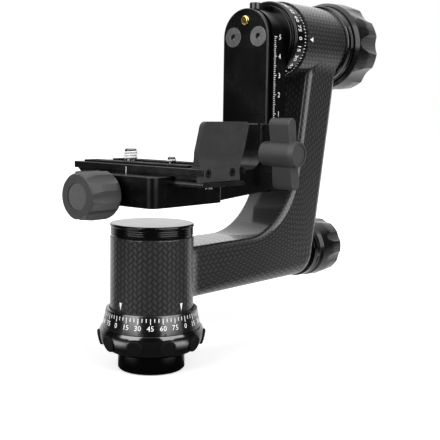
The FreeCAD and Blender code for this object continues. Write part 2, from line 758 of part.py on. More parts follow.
def on_limb(edge, inner):
    """True for a long edge of the limb on its inner (upper) or outer (lower) outline."""
    place = middle(edge)
    if along(edge, (0, 1, 0)) or place.z > value(LIMB_END_Z) - 0.01:
        return False
    if abs(place.x - value(f"{ROOT_SHARE} * {ROOT_X}")) < 0.01:
        return False
    crook = Vector(value(CROOK_X), 0, value(CROOK_Z))
    flat = Vector(place.x, 0, place.z)
    offset = (place.x - value("limb_reach")
              - (place.z - value("elbow_height")) * value(f"tan({LEAN})"))
    near_inner = (abs(place.z - value(LIMB_TOP)) < 0.01 or abs(offset + value("limb_depth")) < 0.01
                  or abs((flat - crook).Length - value("crook_round")) < 0.01)
    elbow = Vector(value(ELBOW_X), 0, value(ELBOW_Z))
    near_outer = (abs(place.z - value("limb_bottom")) < 0.01 or abs(offset) < 0.01
                  or abs((flat - elbow).Length - value("elbow_round")) < 0.01)
    return near_inner if inner else near_outer and not near_inner


def arm_cap():
    """Plug that closes the sleeve: undercut at its foot, three fine grooves round its rim
    and a rounded lip."""
    foot, rim = "(sleeve_radius - cap_undercut)", "(sleeve_radius - cap_inset)"
    lip = "(sleeve_radius + cap_lip)"
    profile = [
        ("0", f"{SLEEVE_TOP} + cap_wall"), (f"{SLEEVE_BORE} - cap_wall", f"{SLEEVE_TOP} + cap_wall"),
        (f"{SLEEVE_BORE} - cap_wall", f"{SLEEVE_TOP} - cap_wall"),
        (SLEEVE_BORE, f"{SLEEVE_TOP} - cap_wall"), (SLEEVE_BORE, SLEEVE_TOP),
        (foot, SLEEVE_TOP), (foot, f"{SLEEVE_TOP} + 0.14 * cap_rise"),
        (rim, f"{SLEEVE_TOP} + 0.14 * cap_rise")]
    for low in (0.28, 0.44, 0.6):
        for share, radius in ((low, rim), (low, f"{rim} - cap_groove"),
                              (low + 0.07, f"{rim} - cap_groove"), (low + 0.07, rim)):
            profile.append((radius, f"{SLEEVE_TOP} + {share:.2f} * cap_rise"))
    turned("arm_cap", "Z", profile + [
        (rim, f"{SLEEVE_TOP} + 0.76 * cap_rise"), (lip, f"{SLEEVE_TOP} + 0.82 * cap_rise"),
        (lip, f"{CAP_TOP} - cap_round"), (f"{lip} - cap_round", CAP_TOP, "cap_round", "left"),
        ("0", CAP_TOP)])


def liners():
    """Metal liners bonded in the sleeve and in the housing, lipped between the bearings."""
    body = turned("pan_liner", "Z", [
        (SLEEVE_BORE, SLEEVE_FOOT), (SLEEVE_BORE, f"{SLEEVE_TOP} - cap_wall"),
        ("bearing_outer", f"{SLEEVE_TOP} - cap_wall"), ("bearing_outer", UPPER_BEARING),
        ("bearing_outer - liner_lip", UPPER_BEARING),
        ("bearing_outer - liner_lip", f"{LOWER_BEARING} + bearing_width"),
        ("bearing_outer", f"{LOWER_BEARING} + bearing_width"), ("bearing_outer", SLEEVE_FOOT)])
    hole = draw(body, "YZ", ("0", "elbow_height", "shoe_radius + shaft_gap"))
    extrude(body, "Pocket", hole, "sleeve_radius", backwards=True)
    turned("tilt_liner", "X", [
        (HOUSING_START, HOUSING_BORE), (HOUSING_END, HOUSING_BORE), (HOUSING_END, "bearing_outer"),
        (REAR_BEARING, "bearing_outer"), (REAR_BEARING, "bearing_outer - liner_lip"),
        (f"{FRONT_BEARING} + bearing_width", "bearing_outer - liner_lip"),
        (f"{FRONT_BEARING} + bearing_width", "bearing_outer"), (HOUSING_START, "bearing_outer")],
        z="tilt_height")


def collars():
    """Threaded collars that close the arm's elbow and its housing behind the knobs."""
    turned("elbow_collar", "X", [
        (f"{ELBOW_SEAT} - elbow_spigot_length", "elbow_stem_radius + shaft_gap"),
        (f"{ELBOW_SEAT} - elbow_spigot_length", "elbow_spigot_radius"),
        (ELBOW_SEAT, "elbow_spigot_radius"), (ELBOW_SEAT, "elbow_collar_radius"),
        (f"{ELBOW_SEAT} + 0.52 * elbow_collar_width", "elbow_collar_radius"),
        (f"{ELBOW_SEAT} + 0.56 * elbow_collar_width", "elbow_collar_radius - edge_break"),
        (f"{ELBOW_SEAT} + 0.66 * elbow_collar_width", "elbow_collar_radius - edge_break"),
        (f"{ELBOW_SEAT} + 0.7 * elbow_collar_width", "elbow_collar_radius"),
        (f"{ELBOW_COLLAR_END} - edge_break", "elbow_collar_radius"),
        (ELBOW_COLLAR_END, "elbow_collar_radius - edge_break"),
        (ELBOW_COLLAR_END, "elbow_stem_radius + shaft_gap")], z="elbow_height")
    turned("tilt_collar", "X", [
        (f"{HOUSING_END} - cap_wall", "tilt_stem_radius + shaft_gap"),
        (f"{HOUSING_END} - cap_wall", "bearing_outer"), (HOUSING_END, "bearing_outer"),
        (HOUSING_END, "tilt_collar_radius - edge_break"),
        (f"{HOUSING_END} + edge_break", "tilt_collar_radius"),
        (f"{HOUSING_END} + 0.5 * tilt_collar_width", "tilt_collar_radius"),
        (f"{HOUSING_END} + 0.56 * tilt_collar_width", "tilt_collar_radius - edge_break"),
        (f"{HOUSING_END} + 0.7 * tilt_collar_width", "tilt_collar_radius - edge_break"),
        (f"{HOUSING_END} + 0.76 * tilt_collar_width", "tilt_collar_radius"),
        (f"{TILT_COLLAR_END} - edge_break", "tilt_collar_radius"),
        (TILT_COLLAR_END, "tilt_collar_radius - edge_break"),
        (TILT_COLLAR_END, "tilt_stem_radius + shaft_gap")], z="tilt_height")


def pan_brake():
    """Shoe that bears on the spindle's drum, and the rod that reaches it from the elbow."""
    turned("pan_brake_shoe", "X",
           ring(SHOE_START, f"{SHOE_START} + shoe_length", "0", "shoe_radius"), z="elbow_height")
    turned("pan_brake_rod", "X",
           ring(f"{SHOE_START} + shoe_length", f"{STEM_TIP} - shaft_gap", "0", "rod_radius"),
           z="elbow_height")


def tilt_brake():
    turned("tilt_brake_disc", "X",
           ring(f"{AXLE_END} + brake_gap", f"{HOUSING_END} - cap_wall - pass_gap",
                "0", "bearing_outer - slide_gap"), z="tilt_height")


# ---------------------------------------------------------------- drag knobs

def drag_knob(name, start, height, tip):
    """Knob whose broad flutes deepen towards its free end, its steel stem and its cap."""
    length, radius = f"{name}_knob_length", f"{name}_knob_radius"
    end = f"({start} + {length})"
    stem = f"{name}_stem_radius"
    cap = f"{name}_cap_radius"
    floor = f"({end} - cap_sunk - cap_thick)"
    body = turned(f"{name}_knob", "X", [
        (start, stem), (start, f"{radius} - knob_shoulder"),
        (f"{start} + knob_shoulder", f"{radius} - knob_crown"),
        (f"{start} + {length} / 2", radius), (f"{end} - knob_round", f"{radius} - knob_crown"),
        (end, f"{radius} - knob_crown - knob_round", "knob_round", "right"), (end, cap),
        (floor, cap), (floor, stem)], z=height, phase=f"{name}_knob_phase")
    flute = body.newObject("Sketcher::SketchObject", name + "_flute_sketch")
    flute.AttachmentSupport = (origin_item(body, "YZ_Plane"), [""])
    flute.MapMode = "FlatFace"
    flute.AttachmentOffset = Placement(Vector(), Rotation(Vector(1, 0, 0), value("flute_slope")))
    flute.setExpression("AttachmentOffset.Rotation.Angle", bind("flute_slope"))
    flute.setExpression("AttachmentOffset.Base.z", bind(end))
    add_circle(flute, "0", f"{radius} - {name}_flute_depth + {name}_flute_radius",
               f"{name}_flute_radius")
    doc.recompute()
    polar(body, [extrude(body, "Pocket", flute, f"2 * {length}", both_ways=True)],
          "X", "flute_count")
    turned(f"{name}_knob_stem", "X",
           [(tip, "0"), (tip, f"{stem} - edge_break"), (f"{tip} + edge_break", stem),
            (floor, stem), (floor, "0")], z=height)
    turned(f"{name}_knob_cap", "X",
           [(floor, "0"), (floor, cap), (f"{floor} + cap_thick / 2", cap),
            (f"{floor} + cap_thick", f"{cap} - cap_thick / 2"), (f"{floor} + cap_thick", "0")],
           z=height)


# ---------------------------------------------------------------- swing rail

def axle():
    """Flanged tilt axle on its bearing seats, with tapped holes for the rail's screws."""
    body = turned("tilt_axle", "X", [
        (RAIL_BACK, "0"), (RAIL_BACK, "axle_flange_radius"), (FLANGE_END, "axle_flange_radius"),
        (FLANGE_END, "shoulder_radius"), (FRONT_BEARING, "shoulder_radius"),
        (FRONT_BEARING, "bearing_bore"), (REAR_BEARING_END, "bearing_bore"),
        (REAR_BEARING_END, "nut_bore"), (AXLE_END, "nut_bore"), (AXLE_END, "0")], z="tilt_height")
    taps = draw(body, "YZ", ("rail_screw_offset", "0", "rail_screw_radius"), lift=RAIL_BACK)
    mirrored(body, [extrude(body, "Pocket", taps, "axle_flange_width", backwards=True)])


def tilt_scale():
    turned("tilt_scale_ring", "X", [
        (RAIL_BACK, "axle_flange_radius"), (RAIL_BACK, "ring_neck_radius"),
        (RING_START, "ring_neck_radius"), (RING_START, "ring_radius - edge_break"),
        (f"{RING_START} + edge_break", "ring_radius"), (f"{RING_END} - tick_band", "ring_radius"),
        (f"{RING_END} - edge_break / 2", "ring_radius - tick_fall"),
        (RING_END, "ring_radius - tick_fall - edge_break / 2"), (RING_END, "shoulder_radius"),
        (FLANGE_END, "shoulder_radius"), (FLANGE_END, "axle_flange_radius")], z="tilt_height")


def rail_outline(half, foot):
    """A bar's face: straight sides and a round top about the tilt axis."""
    return [("-" + half, foot), (half, foot), (half, "0"), ("0", half, half, "left"),
            ("-" + half, "0", half, "left")]


def swing_rail():
    """Dovetail bar with a round top: front lip, sloped flank, neck and a thick back that
    carries the side scale."""
    body = new_body("swing_rail", z="tilt_height")
    foot = f"({RAIL_FOOT} - tilt_height)"
    neck = "(rail_half_width - dove_depth)"
    layers = (("rail_half_width", "rail_front", "dove_lip"),
              (neck, "rail_front + dove_lip", "dove_depth + dove_neck"),
              ("rail_half_width", "rail_front + dove_lip + dove_depth + dove_neck",
               "rail_depth - dove_lip - dove_depth - dove_neck"))
    for half, start, thick in layers:
        extrude(body, "Pad", draw(body, "YZ", rail_outline(half, foot), lift=start), thick)
    flank = extrude(body, "Pad", draw(body, "YZ", rail_outline("rail_half_width", foot),
                                      lift="rail_front + dove_lip"), "dove_depth")
    flank.TaperAngle = -45
    doc.recompute()
    for offset in ("rail_screw_offset", "-rail_screw_offset"):
        hole = draw(body, "YZ", (offset, "0", "rail_screw_radius"), lift="rail_front")
        extrude(body, "Pocket", hole, None, backwards=True)
        head = draw(body, "YZ", (offset, "0", "rail_head_radius"), lift="rail_front")
        extrude(body, "Pocket", head, "rail_head_sunk", backwards=True)
    dress(body, "Chamfer", "rail_head_radius - rail_screw_radius - shaft_gap / 3",
          lambda edge: is_circle(edge, "rail_screw_radius")
          and near(middle(edge).x, "rail_front + rail_head_sunk"))
    pin = draw(body, "YZ", ("0", "pin_height", "pin_radius + shaft_gap"), lift="rail_front")
    extrude(body, "Pocket", pin, None, backwards=True)
    pin = draw(body, "YZ", ("0", "pin_height", "pin_radius + pin_flange + shaft_gap"),
               lift=PIN_STEP)
    extrude(body, "Pocket", pin, None, backwards=True)
    stop = draw(body, "XY", ("rail_front + rail_depth / 2", "0", "stop_screw_radius / 2"),
                lift="rail_half_width")
    extrude(body, "Pocket", stop, "stop_screw_rise")
    dress(body, "Fillet", "edge_break", lambda edge: along(edge, (0, 0, 1))
          and near(middle(edge).x, "rail_front"))


def rail_fixings():
    """Countersunk hex screws, the stop screw on the bar's top and the sprung safety pin."""
    body = new_body("rail_screws", z="tilt_height")
    sink = "(rail_front + rail_head_sunk)"
    head = "(rail_head_radius - shaft_gap)"
    profile = draw(body, "XZ", [
        ("rail_front", "0"), ("rail_front", head), (sink, head),
        (f"{sink} + {head} - rail_screw_radius", "rail_screw_radius"),
        (f"{RAIL_BACK} + axle_flange_width", "rail_screw_radius"),
        (f"{RAIL_BACK} + axle_flange_width", "0")], lift="rail_screw_offset")
    screw = revolve(body, "Revolution", profile, "H")
    hexagonal = draw(body, "YZ", hexagon("-rail_screw_offset", "0", "hex_across"),
                     lift="rail_front")
    socket = extrude(body, "Pocket", hexagonal, "hex_depth", backwards=True)
    mirrored(body, [screw, socket])
    body = turned("rail_stop_screw", "Z", [
        ("0", "rail_half_width - stop_screw_rise + face_gap"),
        ("stop_screw_radius / 2", "rail_half_width - stop_screw_rise + face_gap"),
        ("stop_screw_radius / 2", "rail_half_width"), ("stop_screw_radius", "rail_half_width"),
        ("stop_screw_radius", "rail_half_width + stop_screw_rise - edge_break / 2"),
        ("stop_screw_radius - edge_break / 2", "rail_half_width + stop_screw_rise"),
        ("0", "rail_half_width + stop_screw_rise")],
        x="rail_front + rail_depth / 2", z="tilt_height")
    socket = draw(body, "XY", hexagon("0", "0", "stop_screw_radius"),
                  lift="rail_half_width + stop_screw_rise")
    extrude(body, "Pocket", socket, "stop_screw_rise / 2")
    pin_end = f"({PIN_STEP} + shaft_gap + pin_flange_width)"
    turned("safety_pin", "X", [
        ("rail_front - pin_proud", "0"), ("rail_front - pin_proud", "pin_radius - pin_proud / 2"),
        ("rail_front - pin_proud / 2", "pin_radius"), (f"{PIN_STEP} + shaft_gap", "pin_radius"),
        (f"{PIN_STEP} + shaft_gap", "pin_radius + pin_flange"),
        (pin_end, "pin_radius + pin_flange"), (pin_end, "pin_radius - pin_flange"),
        (f"{pin_end} + pin_tail", "pin_radius - pin_flange"), (f"{pin_end} + pin_tail", "0")],
        z="tilt_height + pin_height")


# ---------------------------------------------------------------- cradle

def cradle_bracket():
    """L-shaped bracket: sloping underside with a round heel, a curved inner corner, a
    dovetail channel for the rail, a pocket for its jaw and a tongue under the clamp."""
    body = new_body("cradle_bracket")
    shelf = f"({TOE_Z} + shelf_rise)"
    heel_z = f"({TOE_Z} + heel_rise)"
    corner_x = "(cradle_face - cradle_inner_round)"
    side = draw(body, "XZ", [
        ("clamp_end + face_gap", TOE_Z), ("cradle_back - heel_round", heel_z),
        ("cradle_back", f"{heel_z} + heel_round", "heel_round", "left"),
        ("cradle_back", CRADLE_TOP), ("cradle_face", CRADLE_TOP),
        ("cradle_face", f"{shelf} + cradle_inner_round"),
        (corner_x, shelf, "cradle_inner_round", "right"), ("clamp_end + face_gap", shelf)])
    extrude(body, "Pad", side, "2 * cradle_half_width", both_ways=True)
    tongue = draw(body, "XY", [
        ("clamp_end - tongue_length", "-tongue_half_width"), ("clamp_end + tongue_root", "-tongue_half_width"),
        ("clamp_end + tongue_root", "tongue_half_width"), ("clamp_end - tongue_length", "tongue_half_width")],
        lift=CLAMP_BOTTOM)
    extrude(body, "Pad", tongue, "tongue_thick")
    front = "(rail_front - slide_gap)"
    flank = "(rail_front + dove_lip + slide_gap)"
    channel = draw(body, "XY", [
        (front, f"-{JAW_FACE}"), ("2 * cradle_back", f"-{JAW_FACE}"),
        ("2 * cradle_back", JAW_FACE), (HOOK_BACK, JAW_FACE), (HOOK_BACK, HOOK_IN),
        (f"{flank} + dove_depth", HOOK_IN), (flank, JAW_FACE), (front, JAW_FACE)])
    extrude(body, "Pocket", channel, None, backwards=True)
    pocket = draw(body, "XY", [
        ("cradle_face - face_gap", f"-{JAW_FACE}"),
        ("cradle_face - face_gap", "-2 * cradle_half_width"),
        ("2 * cradle_back", "-2 * cradle_half_width"), ("2 * cradle_back", f"-{JAW_FACE}")],
        lift=JAW_FOOT)
    extrude(body, "Pocket", pocket, None, backwards=True)
    hole = draw(body, "XZ", ("wing_axis_x", WING_Z, "wing_screw_radius + shaft_gap"),
                lift="cradle_half_width")
    extrude(body, "Pocket", hole, "1.5 * cradle_half_width")
    for place in ("bolt_offset", "-bolt_offset"):
        hole = draw(body, "XY", (BOLT_X, place, "bolt_radius"), lift=CLAMP_BOTTOM)
        extrude(body, "Pocket", hole, "tongue_thick", backwards=True)
        head = draw(body, "XY", (BOLT_X, place, "bolt_head_radius + slide_gap"),
                    lift=CLAMP_BOTTOM)
        extrude(body, "Pocket", head, "bolt_head_height", backwards=True)
    dress(body, "Fillet", "edge_break", lambda edge: along(edge, (0, 0, 1))
          and near(middle(edge).x, "cradle_face") and middle(edge).y > 0)
    dress(body, "Chamfer", "edge_break", lambda edge: near(middle(edge).z, CRADLE_TOP)
          and (near(middle(edge).y, "cradle_half_width") or near(middle(edge).x, "cradle_face")))


def rail_jaw():
    """Movable jaw of the rail clamp, hooked into the bar's groove, and its set screw."""
    body = new_body("rail_jaw")
    inner = f"-({JAW_FACE} + slide_gap)"
    flank = "(rail_front + dove_lip + 2 * slide_gap)"
    section = draw(body, "XY", [
        ("cradle_face", f"-{JAW_SIDE}"), ("cradle_back", f"-{JAW_SIDE}"), ("cradle_back", inner),
        (HOOK_BACK, inner), (HOOK_BACK, f"-{HOOK_IN}"), (f"{flank} + dove_depth", f"-{HOOK_IN}"),
        (flank, inner), ("cradle_face", inner)], lift=f"{JAW_FOOT} + face_gap")
    extrude(body, "Pad", section, "cradle_rise - jaw_foot_rise - face_gap")
    hole = draw(body, "XZ", ("wing_axis_x", WING_Z, "wing_screw_radius + shaft_gap"))
    extrude(body, "Pocket", hole, None, backwards=True)
    seat = f"({JAW_FACE} + jaw_wall / 2)"
    tap = draw(body, "XZ", (SET_SCREW_X, SET_SCREW_Z, "set_screw_radius"), lift=seat)
    extrude(body, "Pocket", tap, "jaw_wall", backwards=True)
    dress(body, "Chamfer", "edge_break", lambda edge: near(middle(edge).y, f"-{JAW_SIDE}")
          and (along(edge, (0, 0, 1)) or near(middle(edge).z, CRADLE_TOP)))
    screw = new_body("jaw_set_screw")
    disc = draw(screw, "XZ", (SET_SCREW_X, SET_SCREW_Z, "set_screw_radius"), lift=seat)
    extrude(screw, "Pad", disc, "jaw_wall / 2 - cap_sunk")


def wing_knob():
    """Butterfly knob: barrel, two wings with rounded tips, hub, nose, cap and screw."""
    face = f"-({JAW_SIDE} + slide_gap)"
    wing_start = f"({face} - wing_barrel_length)"
    wing_end = f"({wing_start} - wing_width)"
    nose = f"({wing_end} - wing_nose)"
    floor = f"({nose} + cap_sunk + cap_thick)"
    spot = {"x": "wing_axis_x", "z": WING_Z, "phase": "wing_turn"}
    body = turned("wing_knob", "Y", [
        (face, "wing_screw_radius"), (face, "wing_barrel_radius"),
        (wing_start, "wing_barrel_radius"), (wing_start, "wing_hub_radius"),
        (wing_end, "wing_hub_radius"), (nose, "wing_hub_radius - edge_break"),
        (nose, "wing_cap_radius"), (floor, "wing_cap_radius"), (floor, "wing_screw_radius")],
        **spot)
    half, waist = "(wing_thick / 2)", "(wing_waist / 2)"
    tip = f"(wing_span - {half})"
    wings = draw(body, "XZ", [
        (half, f"-{tip}", half, "left"), (waist, "0"), (half, tip), ("0", "wing_span", half, "left"),
        (f"-{half}", tip, half, "left"), (f"-{waist}", "0"), (f"-{half}", f"-{tip}"),
        ("0", "-wing_span", half, "left")], lift=f"-{wing_start}")
    extrude(body, "Pad", wings, "wing_width")
    dress(body, "Fillet", "edge_break", lambda edge: abs(middle(edge).z) > value("wing_hub_radius")
          and (near(middle(edge).y, wing_start) or near(middle(edge).y, wing_end)))
    hole = draw(body, "XZ", ("0", "0", "wing_screw_radius"), lift=f"-{face}")
    extrude(body, "Pocket", hole, f"{face} - {floor}", backwards=True)
    turned("wing_knob_screw", "Y",
           ring(floor, "cradle_half_width / 3", "0", "wing_screw_radius"), **spot)
    turned("wing_knob_cap", "Y",
           ring(floor, f"{floor} - cap_thick", "0", "wing_cap_radius"), **spot)


# ---------------------------------------------------------------- quick-release clamp

def clamp():
    """Clamp body with its fixed dovetail jaw, its bolts and the movable jaw's guide pins."""
    body = new_body("qr_clamp_body")
    split = "(jaw_split - slide_gap)"
    floor = f"({PLATE_Z} - slide_gap)"
    neck = f"({NOTCH_X} + slide_gap)"
    side = "(plate_half_width + slide_gap)"
    lip = f"({PLATE_Z} + plate_lip + slide_gap)"
    section = draw(body, "XZ", [
        (f"-{split}", CLAMP_BOTTOM), ("clamp_end", CLAMP_BOTTOM), ("clamp_end", JAW_TOP),
        (neck, JAW_TOP), (neck, f"{lip} + dove_depth"), (side, lip), (side, floor),
        (f"-{split}", floor)])
    extrude(body, "Pad", section, "2 * clamp_half_length", both_ways=True)
    seat = draw(body, "XY", [
        ("clamp_end - tongue_length - face_gap", "-tongue_half_width - slide_gap"),
        ("clamp_end + 1", "-tongue_half_width - slide_gap"),
        ("clamp_end + 1", "tongue_half_width + slide_gap"),
        ("clamp_end - tongue_length - face_gap", "tongue_half_width + slide_gap")],
        lift=CLAMP_BOTTOM)
    extrude(body, "Pocket", seat, "tongue_thick", backwards=True)
    for place in ("bolt_offset", "-bolt_offset"):
        hole = draw(body, "XY", (BOLT_X, place, "bolt_radius"), lift=CLAMP_BOTTOM)
        extrude(body, "Pocket", hole, "bolt_length + bolt_head_height", backwards=True)
    hole = draw(body, "YZ", ("0", CLAMP_AXIS_Z, "clamp_screw_radius + shaft_gap"),
                lift=f"-{split}")
    extrude(body, "Pocket", hole, f"{split} + clamp_screw_reach + pass_gap", backwards=True)
    for place in ("guide_offset", "-guide_offset"):
        hole = draw(body, "YZ", (place, CLAMP_AXIS_Z, "guide_radius"), lift=f"-{split}")
        extrude(body, "Pocket", hole, "guide_length - guide_grip", backwards=True)
    dress(body, "Fillet", "clamp_corner", lambda edge: along(edge, (0, 0, 1))
          and near(middle(edge).x, "clamp_end") and near(abs(middle(edge).y), "clamp_half_length"))
    dress(body, "Chamfer", "edge_break / 2", lambda edge: near(middle(edge).z, JAW_TOP))

    bolts = new_body("clamp_bolts", x=BOLT_X, z=CLAMP_BOTTOM)
    profile = draw(bolts, "XZ", [
        ("0", "edge_break"), ("bolt_head_radius", "edge_break"),
        ("bolt_head_radius", "bolt_head_height"), ("bolt_radius", "bolt_head_height"),
        ("bolt_radius", "bolt_length + bolt_head_height"),
        ("0", "bolt_length + bolt_head_height")], lift="bolt_offset")
    bolt = revolve(bolts, "Revolution", profile, "V")
    drive = draw(bolts, "XY", hexagon("0", "-bolt_offset", "bolt_head_radius"), lift="edge_break")
    socket = extrude(bolts, "Pocket", drive, "bolt_head_height / 2", backwards=True)
    mirrored(bolts, [bolt, socket])

    pins = new_body("jaw_guide_pins", x=f"-{split}", z=CLAMP_AXIS_Z)
    profile = draw(pins, "XZ", ring("-guide_grip", "guide_length - guide_grip", "0",
                                    "guide_radius"), lift="guide_offset")
    mirrored(pins, [revolve(pins, "Revolution", profile, "H")])


def clamp_jaw():
    """Movable dovetail jaw on its guide pins."""
    body = new_body("qr_jaw")
    split = "(jaw_split + slide_gap)"
    floor = f"({PLATE_Z} + slide_gap)"
    neck = f"({NOTCH_X} + slide_gap)"
    side = "(plate_half_width + slide_gap)"
    lip = f"({PLATE_Z} + plate_lip + slide_gap)"
    section = draw(body, "XZ", [
        ("-jaw_outer", CLAMP_BOTTOM), (f"-{split}", CLAMP_BOTTOM), (f"-{split}", floor),
        (f"-{side}", floor), (f"-{side}", lip), (f"-{neck}", f"{lip} + dove_depth"),
        (f"-{neck}", JAW_TOP), ("-jaw_outer", JAW_TOP)])
    extrude(body, "Pad", section, "2 * clamp_half_length", both_ways=True)
    hole = draw(body, "YZ", ("0", CLAMP_AXIS_Z, "clamp_screw_radius + shaft_gap"))
    extrude(body, "Pocket", hole, None)
    for place in ("guide_offset", "-guide_offset"):
        hole = draw(body, "YZ", (place, CLAMP_AXIS_Z, "guide_radius + shaft_gap"),
                    lift=f"-{split}")
        extrude(body, "Pocket", hole, "guide_grip + pass_gap")
    dress(body, "Fillet", "jaw_corner", lambda edge: along(edge, (0, 0, 1))
          and near(middle(edge).x, "-jaw_outer"))
    dress(body, "Chamfer", "edge_break / 2", lambda edge: near(middle(edge).z, JAW_TOP)
          or near(middle(edge).z, CLAMP_BOTTOM) and middle(edge).x < value(f"-{split} - 1"))


def clamp_knob():
    """Fluted clamp knob that swells from a narrow collar, its screw and its cap."""
    start = "-(jaw_outer + qr_knob_gap)"
    end = f"({start} - qr_knob_length)"
    floor = f"({end} + cap_sunk + cap_thick)"
    swell = f"({start} - qr_knob_swell)"
    body = turned("qr_knob", "X", [
        (start, "clamp_screw_radius"), (start, "qr_knob_base_radius"),
        (swell, "qr_knob_radius", "1.1 * qr_knob_swell", "left"),
        (f"{swell} - qr_knob_straight", "qr_knob_radius"),
        (f"{end} + edge_break", "qr_knob_end_radius"),
        (end, "qr_knob_end_radius - edge_break"), (end, "qr_cap_radius"),
        (floor, "qr_cap_radius"), (floor, "clamp_screw_radius")], z=CLAMP_AXIS_Z)
    flute = draw(body, "YZ", ("0", "qr_knob_radius - qr_flute_depth + qr_flute_radius",
                              "qr_flute_radius"), lift=start)
    polar(body, [extrude(body, "Pocket", flute, "qr_knob_length + 1")], "X", "flute_count")
    turned("qr_knob_screw", "X",
           ring(floor, "clamp_screw_reach", "0", "clamp_screw_radius"), z=CLAMP_AXIS_Z)
    turned("qr_knob_cap", "X", ring(floor, f"{floor} - cap_thick", "0", "qr_cap_radius"),
           z=CLAMP_AXIS_Z)


# ---------------------------------------------------------------- lens plate

def slot_outline(half, near_end, far_end):
    """A slot along Y with round ends, as wide as twice half."""
    return [(f"-{half}", f"-{near_end} + {half}"), ("0", f"-{near_end}", half, "left"),
            (half, f"-{near_end} + {half}", half, "left"), (half, f"{far_end} - {half}"),
            ("0", far_end, half, "left"), (f"-{half}", f"{far_end} - {half}", half, "left")]


def lens_plate():
    """Dovetail plate with a screw slot, sloped at its far end's underside and recessed
    at its near end for the flange's foot."""
    body = new_body("lens_plate", z=PLATE_Z)
    neck = "(plate_half_width - dove_depth)"
    half = [("plate_half_width", "0"), ("plate_half_width", "plate_lip"),
            (neck, "plate_lip + dove_depth"), (neck, "plate_neck_top"),
            ("plate_half_width", "plate_neck_top"), ("plate_half_width", "plate_height")]
    section = draw(body, "XZ", half + [("-" + x, z) for x, z in reversed(half)],
                   lift="plate_near")
    extrude(body, "Pad", section, "plate_near + plate_far", backwards=True)
    nose = draw(body, "YZ", [
        ("plate_far - plate_nose", "-1"), ("plate_far + 1", "-1"),
        ("plate_far + 1", "plate_neck_top"), ("plate_far", "plate_neck_top"),
        ("plate_far - plate_nose", "plate_neck_top - 0.8 * plate_nose")])
    extrude(body, "Pocket", nose, "3 * plate_half_width", both_ways=True)
    slot = draw(body, "XY", slot_outline("slot_half_width", "slot_near", "slot_far"))
    extrude(body, "Pocket", slot, None, backwards=True)
    trough = draw(body, "XY", slot_outline("(screw_head_radius + slide_gap)",
                                           "(slot_near + face_gap)", "(slot_far + face_gap)"))
    extrude(body, "Pocket", trough, "screw_head_sunk + screw_head_height + slide_gap",
            backwards=True)
    for place in ("stop_pin_far", "-stop_pin_near"):
        hole = draw(body, "XY", ("0", place, "stop_pin_shank"))
        extrude(body, "Pocket", hole, "stop_pin_hang", backwards=True)
    side = "(flange_foot_half + slide_gap)"
    recess = draw(body, "XZ", [
        ("-" + side, "flange_foot_rise - face_gap"), (side, "flange_foot_rise - face_gap"),
        (side, "plate_height + 1"), ("-" + side, "plate_height + 1")], lift="plate_near")
    extrude(body, "Pocket", recess, "flange_inset + flange_thick")
    for place in ("flange_screw_offset", "-flange_screw_offset"):
        hole = draw(body, "XZ", (place, "flange_screw_rise", "flange_screw_radius"),
                    lift=FLANGE_SEAT)
        extrude(body, "Pocket", hole, "flange_screw_length - flange_thick")
    dress(body, "Chamfer", "edge_break / 2", lambda edge: near(middle(edge).z, "plate_height")
          and near(abs(middle(edge).x), "plate_half_width"))

    pads = new_body("plate_pads", z=PLATE_TOP)
    strip = draw(pads, "XY", [("pad_inner", "-pad_near"), ("pad_outer", "-pad_near"),
                              ("pad_outer", "pad_far"), ("pad_inner", "pad_far")])
    mirrored(pads, [extrude(pads, "Pad", strip, "pad_thick")], "YZ")

    pins = new_body("plate_stop_pins", z=PLATE_Z)
    for lift in ("stop_pin_near", "-stop_pin_far"):
        profile = draw(pins, "XZ", [
            ("0", "-stop_pin_hang"), ("stop_pin_radius", "-stop_pin_hang"),
            ("stop_pin_radius", "0"), ("stop_pin_shank", "0"),
            ("stop_pin_shank", "stop_pin_hang"), ("0", "stop_pin_hang")], lift=lift)
        revolve(pins, "Revolution", profile, "V")


def camera_screw(size):
    """Slotted screw that stands up through the plate's slot, thinner where it is captive."""
    head_top = "(screw_head_sunk + screw_head_height)"
    radius = f"{size}_screw_radius"
    top = f"(plate_height + {size}_screw_rise)"
    body = turned(f"camera_screw_{size}", "Z", [
        ("0", "screw_head_sunk"), ("screw_head_radius", "screw_head_sunk"),
        ("screw_head_radius", head_top), (f"{radius} - screw_neck", head_top),
        (f"{radius} - screw_neck", "plate_height + pad_thick"),
        (radius, "plate_height + pad_thick"), (radius, f"{top} - edge_break"),
        (f"{radius} - edge_break", top), ("0", top)],
        y=f"{size}_screw_place", z=PLATE_Z)
    slot = draw(body, "XY", [
        ("-screw_head_radius - 1", "-driver_slot / 2"), ("screw_head_radius + 1", "-driver_slot / 2"),
        ("screw_head_radius + 1", "driver_slot / 2"), ("-screw_head_radius - 1", "driver_slot / 2")],
        lift="screw_head_sunk")
    extrude(body, "Pocket", slot, "driver_slot", backwards=True)


